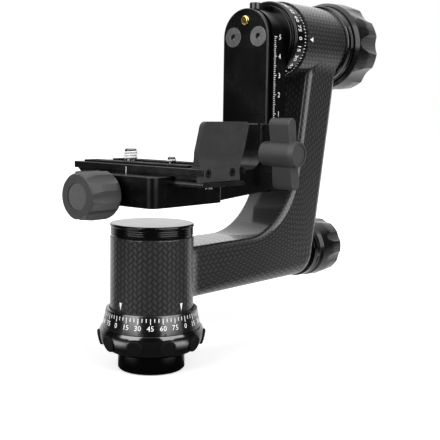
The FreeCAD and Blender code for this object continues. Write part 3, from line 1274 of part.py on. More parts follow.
def end_flange():
    """Upright stop at the plate's near end: a narrow foot, a leaning panel with rounded
    cheeks and a concave inner face that sweeps down on to the plate, with its two screws."""
    body = new_body("plate_flange", z=PLATE_Z)
    outer = FLANGE_FACE
    sweep = f"({outer} - flange_panel)"
    panel_rise = "(plate_height + flange_sweep_rise)"
    cheek_top = "(flange_crease + flange_cheek_rise)"
    side = draw(body, "YZ", [
        (f"-{outer}", "flange_foot_rise"), (f"-{FLANGE_SEAT}", "flange_foot_rise"),
        (f"-{FLANGE_SEAT}", "plate_height"), (f"-{FLANGE_SEAT} + flange_sweep", "plate_height"),
        (f"-{sweep}", panel_rise, "flange_sweep_round", "right"),
        (f"-{sweep} - flange_lean", "flange_top"), (f"-{outer} - flange_lean", "flange_top"),
        (f"-{outer}", "flange_crease")])
    extrude(body, "Pad", side, "2 * flange_half_width", both_ways=True)
    notch = draw(body, "XZ", [
        ("flange_foot_half", "0"), ("2 * flange_half_width", "0"),
        ("2 * flange_half_width", cheek_top), ("flange_half_width", cheek_top),
        ("flange_foot_half", "plate_height + flange_cheek_low", "flange_cheek", "right")],
        lift=f"{outer} + flange_lean")
    mirrored(body, [extrude(body, "Pocket", notch, None)], "YZ")
    holes = draw(body, "XZ", ("flange_screw_offset", "flange_screw_rise", "flange_screw_radius"),
                 ("-flange_screw_offset", "flange_screw_rise", "flange_screw_radius"), lift=outer)
    extrude(body, "Pocket", holes, "flange_thick")
    dress(body, "Chamfer", "flange_screw_sink", lambda edge: is_circle(edge, "flange_screw_radius")
          and near(middle(edge).y, f"-{outer}"))
    dress(body, "Fillet", "flange_corner", lambda edge: along(edge, (0, 1, 0))
          and near(middle(edge).z, "flange_top"))

    screws = new_body("flange_screws", z=f"{PLATE_Z} + flange_screw_rise")
    head = "(flange_screw_radius + flange_screw_sink)"
    profile = draw(screws, "YZ", [
        (f"-{outer}", "0"), (f"-{outer}", head),
        (f"-{outer} + flange_screw_sink", "flange_screw_radius"),
        (f"-{outer} + flange_screw_length", "flange_screw_radius"),
        (f"-{outer} + flange_screw_length", "0")], lift="flange_screw_offset")
    screw = revolve(screws, "Revolution", profile, "H")
    drive = draw(screws, "XZ", hexagon("flange_screw_offset", "0", "flange_screw_radius * 4 / 3"),
                 lift=outer)
    socket = extrude(screws, "Pocket", drive, "flange_screw_sink")
    mirrored(screws, [screw, socket], "YZ")


foot()
grip()
scale_ring()
spindle()
ring_nut("spindle_nut", "Z", f"({UPPER_BEARING} + bearing_width)")
bearings("pan", "Z", LOWER_BEARING, UPPER_BEARING)

arm_shell()
arm_cap()
liners()
collars()
pan_brake()
tilt_brake()
drag_knob("elbow", f"({ELBOW_COLLAR_END} + face_gap)", "elbow_height", STEM_TIP)
drag_knob("tilt", f"({TILT_COLLAR_END} + face_gap)", "tilt_height",
          f"({HOUSING_END} - cap_wall - pass_gap + shaft_gap)")

swing_rail()
rail_fixings()
axle()
tilt_scale()
ring_nut("axle_nut", "X", REAR_BEARING_END, z="tilt_height")
bearings("tilt", "X", FRONT_BEARING, REAR_BEARING, z="tilt_height")

cradle_bracket()
rail_jaw()
wing_knob()
clamp()
clamp_jaw()
clamp_knob()

lens_plate()
camera_screw("large")
camera_screw("small")
end_flange()

doc.recompute()
for item in doc.Objects:
    if "Invalid" in item.State or "Error" in item.State:
        raise RuntimeError(f"{item.Label} failed to compute")
for node in nodes:
    if node.Shape.isNull() or not node.Shape.isValid() or not node.Shape.Solids:
        raise RuntimeError(f"{node.Label} has no valid solid")
os.makedirs("parts", exist_ok=True)
for node in nodes:
    node.Shape.exportStep(f"parts/{node.Label}.step")
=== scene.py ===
import bpy, json, math
from mathutils import Matrix, Vector


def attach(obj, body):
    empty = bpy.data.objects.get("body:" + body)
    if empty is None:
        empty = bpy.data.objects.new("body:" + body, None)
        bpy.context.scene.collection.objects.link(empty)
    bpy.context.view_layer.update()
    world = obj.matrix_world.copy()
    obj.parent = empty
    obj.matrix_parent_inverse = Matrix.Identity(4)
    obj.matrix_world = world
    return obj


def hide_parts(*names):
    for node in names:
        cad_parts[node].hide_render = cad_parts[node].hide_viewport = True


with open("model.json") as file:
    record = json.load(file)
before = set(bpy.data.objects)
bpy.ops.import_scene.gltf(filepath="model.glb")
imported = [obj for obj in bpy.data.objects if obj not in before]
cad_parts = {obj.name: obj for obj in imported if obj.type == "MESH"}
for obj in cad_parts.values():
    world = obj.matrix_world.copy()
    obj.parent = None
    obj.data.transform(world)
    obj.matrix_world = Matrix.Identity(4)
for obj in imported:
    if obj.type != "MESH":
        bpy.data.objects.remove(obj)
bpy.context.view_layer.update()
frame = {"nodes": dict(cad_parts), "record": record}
scene = bpy.context.scene
MM = 0.001

# Stations of the head, in millimetres, repeated from its construction
TILT_Z = 208.5
SLEEVE_R = 25.6
PAN_RING_R, PAN_RING_TOP_R, PAN_RING_Z, PAN_RING_H = 30.2, 28.1, 26.3, 11.7
TILT_RING_R, HOUSING_R = 26.0, 27.0
CROOK_R, CROOK_X, CROOK_Z, LEAN = 50.0, 75.13, 125.2, math.radians(10.4)
LIMB_HALF_WIDTH, LIMB_HALF_THICK = 20.0, 16.5
RAIL_SIDE = -19.0
PLATE_SIDE, PLATE_TOP = -19.0, 126.4

# The camera: its place in millimetres, its angles, and its lens over a square frame
CAMERA_PLACE = Vector((-383.31, -373.85, 156.75))
CAMERA_YAW, CAMERA_PITCH, CAMERA_ROLL = (math.radians(a) for a in (39.84, 6.87, 0.87))
FOCAL_PIXELS, FRAME_PIXELS, SENSOR_WIDTH = 879.16, 440, 36

# The studio, in metres from the foot's middle. Each fade holds the low and high of what is
# measured, and then what it gives at both
HEAD_MIDDLE = Vector((0.045, 0.0, 0.125))
STUDIO_DARK = 0.03
SOFT_FILL = 0.3
GLOW_BEHIND = (0.35, 0.80, 0.0, 1.2)
GLOW_ABOVE = (0.45, 0.92, 0.0, 2.0)
FLOOR_SIZE, FLOOR_DROP = 12, 0.0006
# The pale floor's colour; the dark colour that gloss alone sees on the floor in front, a painted
# shade in place of the studio's dark; and how much of the white behind gloss sees
FLOOR_PALE, FLOOR_PAINTED_SHADE, FLOOR_IN_GLOSS = 0.9, 0.06, 0.35
FLOOR_LIFT = (0.12, 0.6, 0.45, 1.0)
DARK_ENDS = (0.25, 0.7, 0.0, 1.0)
# Two patches of floor that glow for gloss alone, to either side in front: painted highlights, the
# softboxes' light painted on the floor for the grip ring and foot to reflect
PATCH_ASIDE, PATCH_IN_FRONT = (0.50, 0.85, 0.0, 1.0), (-0.35, -0.1, 1.0, 0.0)
PATCH_STARTS, PATCH_STOPS = (0.04, 0.085, 0.0, 1.0), (0.14, 0.19, 1.0, 0.0)
PAINTED_HIGHLIGHT_GLOW = 2.6

# How the pieces are dressed. Edge widths are in millimetres, and a piece whose edge is
# nought keeps its own facets
EDGE = 0.28
OWN_EDGE = {"arm_shell": 0.0, "qr_knob": 1.3, "wing_knob": 0.9, "tilt_knob": 0.5,
            "elbow_knob": 0.4, "plate_pads": 0.15, "jaw_set_screw": 0.15,
            "flange_screws": 0.15, "rail_screws": 0.15}
SHARP, SMOOTH, FLAT = math.radians(32), math.radians(28), math.radians(0.4)
PIECE_WELD, THREAD_WELD, NUMERAL_WELD = 2e-6, 1e-6, 2e-7

# What lies this near a round surface or a level, in millimetres, is taken to be on it
NEAR = 0.05

# A triangle on a circle of radius 1 is this tall, and this wide to one side
TRIANGLE_TALL, TRIANGLE_HALF = 1.5, 0.866

# The camera screws' threads. Depth and half width are shares of the pitch, and each screw
# has its place across the plate, its radius, its pitch and its top
STUD_FOOT = 127.6
THREAD_DEPTH, THREAD_HALF_WIDTH, THREAD_STEPS = 0.61, 0.48, 24
STUDS = {"camera_screw_large": (18.8, 4.76, 1.5875, 134.8),
         "camera_screw_small": (-15.8, 3.17, 1.27, 131.2)}

# Cells of the braid on each run of the arm, across and along it, in millimetres
SLEEVE_BRAID, LIMB_BRAID, HOUSING_BRAID = (3.0, 3.75), (2.9, 4.8), (2.9, 4.0)

# The painted marks, in millimetres and degrees. Ticks have a width, then their lengths
MARK_DEPTH = 0.12
NUMERAL_PITCH = 0.74
TICK_TURN, TICKS_TO_A_NUMBER, NUMBERS_END = 5, 3, 90
PAN_PHASE = -2.0
PAN_TICK_TOP, PAN_TICK, PAN_NUMBER_Z, PAN_NUMBER = 36.6, (0.42, 3.4, 2.2), 30.9, 3.0
TILT_TICK_X, TILT_TICK_R, TILT_TICK_SLOPE = 123.7, 25.24, math.atan2(0.8, 3.3)
TILT_TICK, TILT_NUMBER_X, TILT_NUMBER = (0.5, 2.8, 1.9), 116.0, 3.4
RAIL_ZERO, RAIL_UNIT, RAIL_UNITS, RAIL_PARTS = 144.7, 12.77, 5, 10
RAIL_TICK_X, RAIL_TICK, RAIL_NUMBER_X, RAIL_NUMBER = 95.8, (0.36, 3.0, 2.3, 1.6), 102.0, 3.3
SLEEVE_POINTER_TURNS, SLEEVE_POINTER_Z, SLEEVE_POINTER = (180, 270), 41.3, (2.0, 4.6)
HOUSING_POINTER_X, HOUSING_POINTER = 127.6, (3.4, 3.6)
PLATE_MARK_Y, PLATE_MARK_DROP, PLATE_MARK = 3.3, 1.3, (0.5, 3.6)

UP = Vector((0, 0, 1))
ALONG = Vector((1, 0, 0))
NEAR_SIDE = Vector((0, -1, 0))


# ------------------------------------------------------------------ camera, light and floor

def set_camera():
    """Stands the camera in its place. Gives its line of sight and what is right of it."""
    yaw, pitch, roll = CAMERA_YAW, CAMERA_PITCH, CAMERA_ROLL
    ahead = Vector((math.cos(yaw) * math.cos(pitch), math.sin(yaw) * math.cos(pitch),
                    -math.sin(pitch)))
    right = Vector((math.sin(yaw), -math.cos(yaw), 0))
    up = right.cross(ahead)
    side = right * math.cos(roll) + up * math.sin(roll)
    top = up * math.cos(roll) - right * math.sin(roll)
    data = bpy.data.cameras.new("viewpoint")
    data.sensor_width = SENSOR_WIDTH
    data.lens = FOCAL_PIXELS * SENSOR_WIDTH / FRAME_PIXELS
    data.clip_start, data.clip_end = 0.01, 20
    camera = bpy.data.objects.new("viewpoint", data)
    turn = Matrix((side, top, -ahead)).transposed()
    camera.matrix_world = Matrix.Translation(CAMERA_PLACE * MM) @ turn.to_4x4()
    scene.collection.objects.link(camera)
    scene.camera = camera
    return ahead, right


def softbox(name, turn, rise, distance, size, glow):
    """A rectangular lamp with an even glow. It faces the head from turn degrees to the right
    of the camera's line and rise degrees above the level."""
    rise = math.radians(rise)
    level = Matrix.Rotation(math.radians(turn), 3, "Z") @ -level_ahead
    towards = level * math.cos(rise) + Vector((0, 0, math.sin(rise)))
    light = bpy.data.lights.new(name, "AREA")
    light.shape = "RECTANGLE"
    light.size, light.size_y = size
    light.energy = glow * math.pi * size[0] * size[1]
    lamp = bpy.data.objects.new(name, light)
    lamp.location = HEAD_MIDDLE + towards * distance
    lamp.rotation_euler = (-towards).to_track_quat("-Z", "Y").to_euler()
    lamp.visible_camera = False
    scene.collection.objects.link(lamp)


class Tree:
    """A node tree with short words for adding, setting and joining its nodes."""

    def __init__(self, owner):
        owner.use_nodes = True
        self.tree = owner.node_tree

    def add(self, kind, **settings):
        node = self.tree.nodes.new(kind)
        for key, value in settings.items():
            setattr(node, key, value)
        return node

    def feed(self, socket, item):
        """Sets a socket to a value, or joins an output to it."""
        if isinstance(item, bpy.types.NodeSocket):
            self.tree.links.new(item, socket)
        else:
            socket.default_value = item

    def sums(self, operation, *items):
        node = self.add("ShaderNodeMath", operation=operation)
        for socket, item in zip(node.inputs, items):
            self.feed(socket, item)
        return node.outputs[0]

    def fade(self, value, low, high, at_low, at_high):
        """Runs softly from at_low to at_high while value goes from low to high."""
        node = self.add("ShaderNodeMapRange", interpolation_type="SMOOTHSTEP")
        for name, item in (("Value", value), ("From Min", low), ("From Max", high),
                           ("To Min", at_low), ("To Max", at_high)):
            self.feed(node.inputs[name], item)
        return node.outputs[0]

    def along(self, where, direction):
        """How far a place or heading lies along a direction."""
        node = self.add("ShaderNodeVectorMath", operation="DOT_PRODUCT")
        self.feed(node.inputs[0], where)
        node.inputs[1].default_value = direction
        return node.outputs["Value"]

    def glow(self, strength):
        node = self.add("ShaderNodeBackground")
        node.inputs["Color"].default_value = (1, 1, 1, 1)
        self.feed(node.inputs["Strength"], strength)
        return node.outputs[0]

    def blend(self, share, first, second):
        node = self.add("ShaderNodeMixShader")
        for socket, item in zip(node.inputs, (share, first, second)):
            self.feed(socket, item)
        return node.outputs[0]

    def both(self, first, second):
        node = self.add("ShaderNodeAddShader")
        for socket, item in zip(node.inputs, (first, second)):
            self.feed(socket, item)
        return node.outputs[0]


def set_world():
    """White behind the head for the camera. Gloss sees that white behind and above, and a
    dark studio in front. Matt surfaces get an even soft light from all sides."""
    world = bpy.data.worlds.new("studio")
    tree = Tree(world)
    scene.world = world
    world.node_tree.nodes.clear()
    path = tree.add("ShaderNodeLightPath").outputs
    place = tree.add("ShaderNodeTexCoord").outputs["Generated"]
    split = tree.add("ShaderNodeSeparateXYZ")
    tree.feed(split.inputs[0], place)
    behind = tree.fade(tree.along(place, level_ahead), *GLOW_BEHIND)
    above = tree.fade(split.outputs[2], *GLOW_ABOVE)
    studio = tree.sums("MAXIMUM", tree.sums("MAXIMUM", behind, above), STUDIO_DARK)
    gloss = tree.blend(path["Is Glossy Ray"], tree.glow(SOFT_FILL), tree.glow(studio))
    seen = tree.sums("MAXIMUM", path["Is Camera Ray"], path["Is Transmission Ray"])
    out = tree.add("ShaderNodeOutputWorld")
    tree.feed(out.inputs["Surface"], tree.blend(seen, gloss, tree.glow(1.0)))


def set_floor():
    """Pale floor that keeps the head's shadow and fades into the white behind it. Gloss sees it in
    painted shade in front, a dark colour in place of the dark studio, apart from two glowing
    patches under the softboxes that are painted highlights."""
    bpy.ops.mesh.primitive_plane_add(size=FLOOR_SIZE, location=(0, 0, -FLOOR_DROP))
    floor = bpy.context.object
    floor.name = "floor"
    paint = bpy.data.materials.new("pale_floor")
    tree = Tree(paint)
    surface = paint.node_tree.nodes["Principled BSDF"]
    out = paint.node_tree.nodes["Material Output"]
    surface.inputs["Base Color"].default_value = (FLOOR_PALE, FLOOR_PALE, FLOOR_PALE, 1)
    surface.inputs["Roughness"].default_value = 1.0
    surface.inputs["Specular IOR Level"].default_value = 0.0

    path = tree.add("ShaderNodeLightPath").outputs
    place = tree.add("ShaderNodeTexCoord").outputs["Object"]
    length = tree.add("ShaderNodeVectorMath", operation="LENGTH")
    tree.feed(length.inputs[0], place)
    distance = length.outputs["Value"]
    heading = tree.add("ShaderNodeVectorMath", operation="NORMALIZE")
    tree.feed(heading.inputs[0], place)
    toward = tree.along(heading.outputs[0], level_ahead)

    mirrored = tree.sums("MULTIPLY", path["Is Glossy Ray"], FLOOR_IN_GLOSS)
    seen = tree.sums("MAXIMUM", tree.sums("MAXIMUM", path["Is Camera Ray"], mirrored),
                     path["Is Transmission Ray"])
    white = tree.add("ShaderNodeEmission")
    lift = tree.fade(distance, *FLOOR_LIFT)
    tree.feed(white.inputs["Strength"], tree.sums("MULTIPLY", seen, lift))
    pale = tree.both(surface.outputs[0], white.outputs[0])

    # Painted shade for gloss in front: a dark floor colour, with two glowing patches as painted
    # highlights under the softboxes
    dark = tree.add("ShaderNodeBsdfDiffuse")
    dark.inputs["Color"].default_value = (FLOOR_PAINTED_SHADE, FLOOR_PAINTED_SHADE, FLOOR_PAINTED_SHADE, 1)
    across = tree.along(heading.outputs[0], right)
    aside = tree.fade(tree.sums("ABSOLUTE", across), *PATCH_ASIDE)
    in_front = tree.fade(toward, *PATCH_IN_FRONT)
    starts = tree.fade(distance, *PATCH_STARTS)
    stops = tree.fade(distance, *PATCH_STOPS)
    patch = tree.sums("MULTIPLY", tree.sums("MULTIPLY", aside, in_front),
                      tree.sums("MULTIPLY", starts, stops))
    painted_highlight = tree.add("ShaderNodeEmission")
    tree.feed(painted_highlight.inputs["Strength"], tree.sums("MULTIPLY", patch, PAINTED_HIGHLIGHT_GLOW))
    front = tree.both(dark.outputs[0], painted_highlight.outputs[0])

    unlit = tree.sums("SUBTRACT", 1.0, tree.fade(toward, *DARK_ENDS))
    share = tree.sums("MULTIPLY", unlit, path["Is Glossy Ray"])
    tree.feed(out.inputs["Surface"], tree.blend(share, pale, front))
    floor.data.materials.append(paint)


# ------------------------------------------------------------------ finishes

class Finish(Tree):
    """A material on its way: its shader, its Object coordinates, and words for texture."""

    def __init__(self, name, colour, roughness, metallic=0.0, specular=0.5, coat=0.0):
        self.material = bpy.data.materials.new(name)
        super().__init__(self.material)
        self.surface = self.tree.nodes["Principled BSDF"]
        self.set("Base Color", (*colour, 1))
        self.set("Roughness", roughness)
        self.set("Metallic", metallic)
        self.set("Specular IOR Level", specular)
        self.set("Coat Weight", coat)
        self.place = self.add("ShaderNodeTexCoord").outputs["Object"]

    def set(self, socket, item):
        self.feed(self.surface.inputs[socket], item)

    def only_along(self, axis):
        """Object coordinates that change along one axis alone."""
        mapping = self.add("ShaderNodeMapping")
        mapping.inputs["Scale"].default_value = [float(letter == axis) for letter in "XYZ"]
        self.feed(mapping.inputs["Vector"], self.place)
        return mapping.outputs["Vector"]

    def noise(self, where, scale, detail):
        noise = self.add("ShaderNodeTexNoise")
        noise.inputs["Scale"].default_value = scale
        noise.inputs["Detail"].default_value = detail
        self.feed(noise.inputs["Vector"], where)
        return noise.outputs["Fac"]

    def ramp(self, value, stops):
        """Maps value through (position, grey or colour) stops."""
        ramp = self.add("ShaderNodeValToRGB")
        marks = ramp.color_ramp.elements
        while len(marks) < len(stops):
            marks.new(0.5)
        for mark, (position, shade) in zip(marks, stops):
            mark.position = position
            mark.color = (*shade, 1) if isinstance(shade, tuple) else (shade, shade, shade, 1)
        self.feed(ramp.inputs["Fac"], value)
        return ramp.outputs["Color"]

    def varied(self, cloud, middle, least, most):
        """A grey or colour that runs with a cloud from least to most times itself."""
        ends = [tuple(part * share for part in middle) if isinstance(middle, tuple)
                else middle * share for share in (least, most)]
        return self.ramp(cloud, [(0.3, ends[0]), (0.7, ends[1])])

    def bump(self, height, depth):
        """Raises the surface by the height times a depth in millimetres."""
        bump = self.add("ShaderNodeBump")
        bump.inputs["Strength"].default_value = 1.0
        bump.inputs["Distance"].default_value = depth * MM
        self.feed(bump.inputs["Height"], height)
        self.set("Normal", bump.outputs["Normal"])


def blasted_metal(name, colour, roughness, grain, metallic=1.0):
    """Anodised or plated metal with a fine blasted grain and a little uneven gloss."""
    finish = Finish(name, colour, roughness, metallic)
    cloud = finish.noise(finish.place, scale=60, detail=4)
    finish.set("Roughness", finish.varied(cloud, roughness, least=0.85, most=1.2))
    fleck = finish.noise(finish.place, scale=220, detail=2)
    finish.set("Base Color", finish.varied(fleck, colour, least=0.85, most=1.15))
    finish.bump(finish.noise(finish.place, scale=4500, detail=2), grain)
    return finish.material


def turned_metal(name, colour, roughness, axis, groove):
    """Lathe-turned metal: very fine tool lines round the given axis."""
    finish = Finish(name, colour, roughness, metallic=1.0)
    lines = finish.noise(finish.only_along(axis), scale=2600, detail=3)
    cloud = finish.noise(finish.place, scale=90, detail=3)
    finish.set("Roughness", finish.varied(cloud, roughness, least=0.85, most=1.2))
    finish.bump(lines, groove)
    return finish.material


def moulded(name, colour, roughness, grain, coat=0.0, specular=0.5):
    """Moulded plastic or rubber with a faint texture from its tool."""
    finish = Finish(name, colour, roughness, specular=specular, coat=coat)
    finish.set("Coat Roughness", 0.06)
    speck = finish.noise(finish.place, scale=900, detail=3)
    cloud = finish.noise(finish.place, scale=40, detail=3)
    finish.set("Roughness", finish.varied(cloud, roughness, least=0.85, most=1.15))
    finish.set("Base Color", finish.varied(speck, colour, least=0.88, most=1.12))
    finish.bump(speck, grain)
    return finish.material


def woven_carbon(name):
    """Braided carbon under clear lacquer. The piece's UV map runs in braid cells: U across
    the braid's columns, V along them, and neighbouring columns slant opposite ways."""
    tow_swell, span_swell = 0.6, 0.8
    fibres_across, fibres_along, fibres_apart = 12.0, 0.8, 7.3
    fibre_height, braid_depth = 0.12, 0.18
    shade_least, shade_gain = 0.6, 0.8
    finish = Finish(name, (0.012, 0.012, 0.0125), 0.32, specular=0.35, coat=0.75)
    finish.set("Coat Roughness", 0.11)
    finish.set("Coat IOR", 1.55)
    split = finish.add("ShaderNodeSeparateXYZ")
    finish.feed(split.inputs[0], finish.add("ShaderNodeTexCoord").outputs["UV"])
    sums = finish.sums

    def fourth(value):
        """The value's place in a run of four cells, from 0 to 4."""
        return sums("MULTIPLY", sums("FRACT", sums("MULTIPLY", value, 0.25), 0), 4.0)

    def swell(part, power):
        """0 at both ends of a span and 1 at its middle."""
        return sums("POWER", sums("SINE", sums("MULTIPLY", part, math.pi), 0), power)

    def laid_over(upper, lower):
        """One value where the first tows lie on top, and another where they run below."""
        return sums("ADD", sums("MULTIPLY", upper, top), sums("MULTIPLY", lower, low))

    first = sums("SUBTRACT", split.outputs[0], split.outputs[1])
    second = sums("ADD", split.outputs[0], split.outputs[1])
    first_tow, second_tow = sums("FLOOR", first, 0), sums("FLOOR", second, 0)
    run_first = fourth(sums("ADD", first_tow, second))
    run_second = fourth(sums("ADD", second_tow, first))
    top = sums("LESS_THAN", fourth(sums("ADD", sums("ADD", first_tow, second_tow), 0.5)), 2.0)
    low = sums("SUBTRACT", 1.0, top)
    over = sums("MULTIPLY", swell(sums("FRACT", first, 0), tow_swell),
                swell(sums("MULTIPLY", run_first, 0.5), span_swell))
    under = sums("MULTIPLY", swell(sums("FRACT", second, 0), tow_swell),
                 swell(sums("SUBTRACT", sums("MULTIPLY", run_second, 0.5), 1.0), span_swell))
    tow = laid_over(over, under)

    fibre_place = finish.add("ShaderNodeCombineXYZ")
    finish.feed(fibre_place.inputs[0], sums("MULTIPLY", laid_over(first, second), fibres_across))
    finish.feed(fibre_place.inputs[1], sums("MULTIPLY", laid_over(second, first), fibres_along))
    finish.feed(fibre_place.inputs[2], sums("MULTIPLY", top, fibres_apart))
    fibres = finish.noise(fibre_place.outputs[0], scale=1.0, detail=2)
    height = sums("ADD", tow, sums("MULTIPLY", fibres, fibre_height))
    # The colour is lighter over each tow's crown and darkest where it dips under: a painted sheen
    # in place of the tows' glossy highlight, with the fibre streaks on it as the carbon's grain
    painted_sheen_and_grain = sums("MULTIPLY", tow, sums("ADD", shade_least, sums("MULTIPLY", fibres, shade_gain)))
    finish.set("Base Color", finish.ramp(painted_sheen_and_grain, [(0.1, (0.002, 0.002, 0.0022)),
                                                 (0.5, (0.008, 0.008, 0.0085)),
                                                 (0.95, (0.028, 0.028, 0.029))]))
    finish.set("Roughness", finish.ramp(tow, [(0.2, 0.7), (0.8, 0.36)]))
    finish.bump(height, braid_depth)
    return finish.material


finishes = {
    "foot_metal": turned_metal("black_foot_metal", (0.03, 0.03, 0.031), 0.16, "Z", 0.0008),
    "cap_metal": turned_metal("black_cap_metal", (0.05, 0.05, 0.051), 0.14, "Z", 0.0015),
    "grip_gloss": turned_metal("glossy_grip_ring", (0.11, 0.11, 0.112), 0.15, "Z", 0.0005),
    "head_metal": blasted_metal("black_head_metal", (0.045, 0.045, 0.046), 0.24, 0.002),
    "flange_matt": blasted_metal("matt_end_stop", (0.02, 0.02, 0.0205), 0.55, 0.004, metallic=0.0),
    "plate_metal": blasted_metal("black_plate_metal", (0.095, 0.095, 0.096), 0.28, 0.002),
    "scale_metal": turned_metal("satin_scale_ring", (0.12, 0.12, 0.121), 0.20, "Z", 0.0003),
    "tilt_scale_metal": turned_metal("satin_tilt_ring", (0.045, 0.045, 0.046), 0.22, "X", 0.0015),
    "collar_gloss": turned_metal("glossy_collar", (0.06, 0.06, 0.062), 0.14, "X", 0.002),
    "carbon": woven_carbon("braided_carbon"),
    "knob_gloss": moulded("glossy_drag_knob", (0.004, 0.004, 0.004), 0.22, 0.002,
                          coat=0.15, specular=0.35),
    "matte_knob": moulded("matte_clamp_knob", (0.036, 0.036, 0.037), 0.5, 0.02),
    "rubber": moulded("black_rubber", (0.004, 0.004, 0.0042), 0.6, 0.02, specular=0.1),
    "cap_plate": moulded("grey_knob_face", (0.075, 0.075, 0.076), 0.35, 0.01),
    "screw_steel": blasted_metal("grey_screw_steel", (0.26, 0.26, 0.262), 0.34, 0.002),
    "steel": blasted_metal("bright_steel", (0.62, 0.62, 0.62), 0.25, 0.002),
    "dark_steel": blasted_metal("black_oxide_steel", (0.06, 0.06, 0.062), 0.32, 0.003),
    "thread_steel": blasted_metal("threaded_steel", (0.17, 0.17, 0.172), 0.24, 0.002),
    "liner_metal": turned_metal("machined_aluminium", (0.75, 0.75, 0.76), 0.3, "Z", 0.006),
    "friction": moulded("friction_pad", (0.5, 0.42, 0.3), 0.8, 0.05),
    "brass": blasted_metal("polished_brass", (0.83, 0.62, 0.25), 0.18, 0.002),
    "marks": moulded("white_engraving_paint", (0.80, 0.80, 0.80), 0.5, 0.004),
}

FINISH_OF = {
    "base_foot": "foot_metal", "grip_ring": "grip_gloss", "grip_studs": "rubber",
    "pan_scale_ring": "scale_metal", "arm_shell": "carbon", "arm_cap": "cap_metal",
    "elbow_collar": "collar_gloss", "tilt_collar": "collar_gloss",
    "elbow_knob": "knob_gloss", "tilt_knob": "knob_gloss",
    "elbow_knob_cap": "head_metal", "tilt_knob_cap": "head_metal",
    "swing_rail": "head_metal", "tilt_scale_ring": "tilt_scale_metal",
    "rail_screws": "screw_steel", "rail_stop_screw": "dark_steel", "safety_pin": "brass",
    "cradle_bracket": "head_metal", "rail_jaw": "head_metal", "jaw_set_screw": "steel",
    "wing_knob": "matte_knob", "wing_knob_cap": "matte_knob",
    "qr_clamp_body": "head_metal", "clamp_bolts": "dark_steel", "qr_jaw": "head_metal",
    "qr_knob": "matte_knob", "qr_knob_cap": "cap_plate",
    "lens_plate": "plate_metal", "plate_pads": "rubber", "plate_stop_pins": "steel",
    "camera_screw_large": "thread_steel", "camera_screw_small": "thread_steel",
    "plate_flange": "flange_matt", "flange_screws": "dark_steel",
}
SLOT_FINISH = {
    "foot_metal": "foot_metal", "head_metal": "head_metal", "carbon": "carbon",
    "knob_plastic": "knob_gloss", "soft_grip": "rubber", "matte_knob": "matte_knob",
    "steel": "steel", "dark_steel": "dark_steel", "liner_metal": "liner_metal",
    "friction": "friction", "pin_brass": "brass",
}


# ------------------------------------------------------------------ dressed pieces

record = frame["record"]
body_of = {node: body for body, nodes in record["behaviour"]["bodies"].items() for node in nodes}
slot_of = {item["node"]: item["material_slot"] for item in record["subparts"]}


def only(piece):
    """Selects the piece alone and makes it active."""
    bpy.ops.object.select_all(action="DESELECT")
    piece.select_set(True)
    bpy.context.view_layer.objects.active = piece


def edit_all():
    """Opens the active piece in edit mode with all of it selected."""
    bpy.ops.object.mode_set(mode="EDIT")
    bpy.ops.mesh.select_all(action="SELECT")


def done():
    """Goes back from edit mode to whole pieces."""
    bpy.ops.object.mode_set(mode="OBJECT")


def apply_modifier(piece, kind, **settings):
    only(piece)
    modifier = piece.modifiers.new(kind.title(), kind)
    for key, value in settings.items():
        setattr(modifier, key, value)
    bpy.ops.object.modifier_apply(modifier=modifier.name)


def dressed(node, edge):
    """A finished piece in a CAD node's place: its merged copy with its sharp edges broken.
    With no edge the copy keeps its own facets, as a curved shell does."""
    mesh = frame["nodes"][node].data.copy()
    piece = bpy.data.objects.new(node + "_finished", mesh)
    scene.collection.objects.link(piece)
    mesh.materials.clear()
    mesh.materials.append(finishes[FINISH_OF[node]])
    only(piece)
    bpy.ops.mesh.customdata_custom_splitnormals_clear()
    edit_all()
    bpy.ops.mesh.remove_doubles(threshold=PIECE_WELD)
    if edge:
        bpy.ops.mesh.dissolve_limited(angle_limit=FLAT)
    done()
    if edge:
        apply_modifier(piece, "BEVEL", width=edge * MM, segments=2, limit_method="ANGLE",
                       angle_limit=SHARP, use_clamp_overlap=True, harden_normals=False)
    only(piece)
    bpy.ops.object.shade_smooth_by_angle(angle=SMOOTH)
    apply_modifier(piece, "WEIGHTED_NORMAL", keep_sharp=True, weight=80)
    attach(piece, body_of[node])
    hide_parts(node)
    return piece


def thin_stud(piece, side, root):
    """Narrows the part of the piece above the stud's foot, round the stud's own axis."""
    only(piece)
    bpy.ops.object.mode_set(mode="EDIT")
    bpy.ops.mesh.select_all(action="DESELECT")
    done()
    for vertex in piece.data.vertices:
        vertex.select = vertex.co.z / MM > STUD_FOOT - NEAR
    bpy.ops.object.mode_set(mode="EDIT")
    bpy.ops.transform.resize(value=(root, root, 1),
                             center_override=(0, side * MM, STUD_FOOT * MM))
    done()


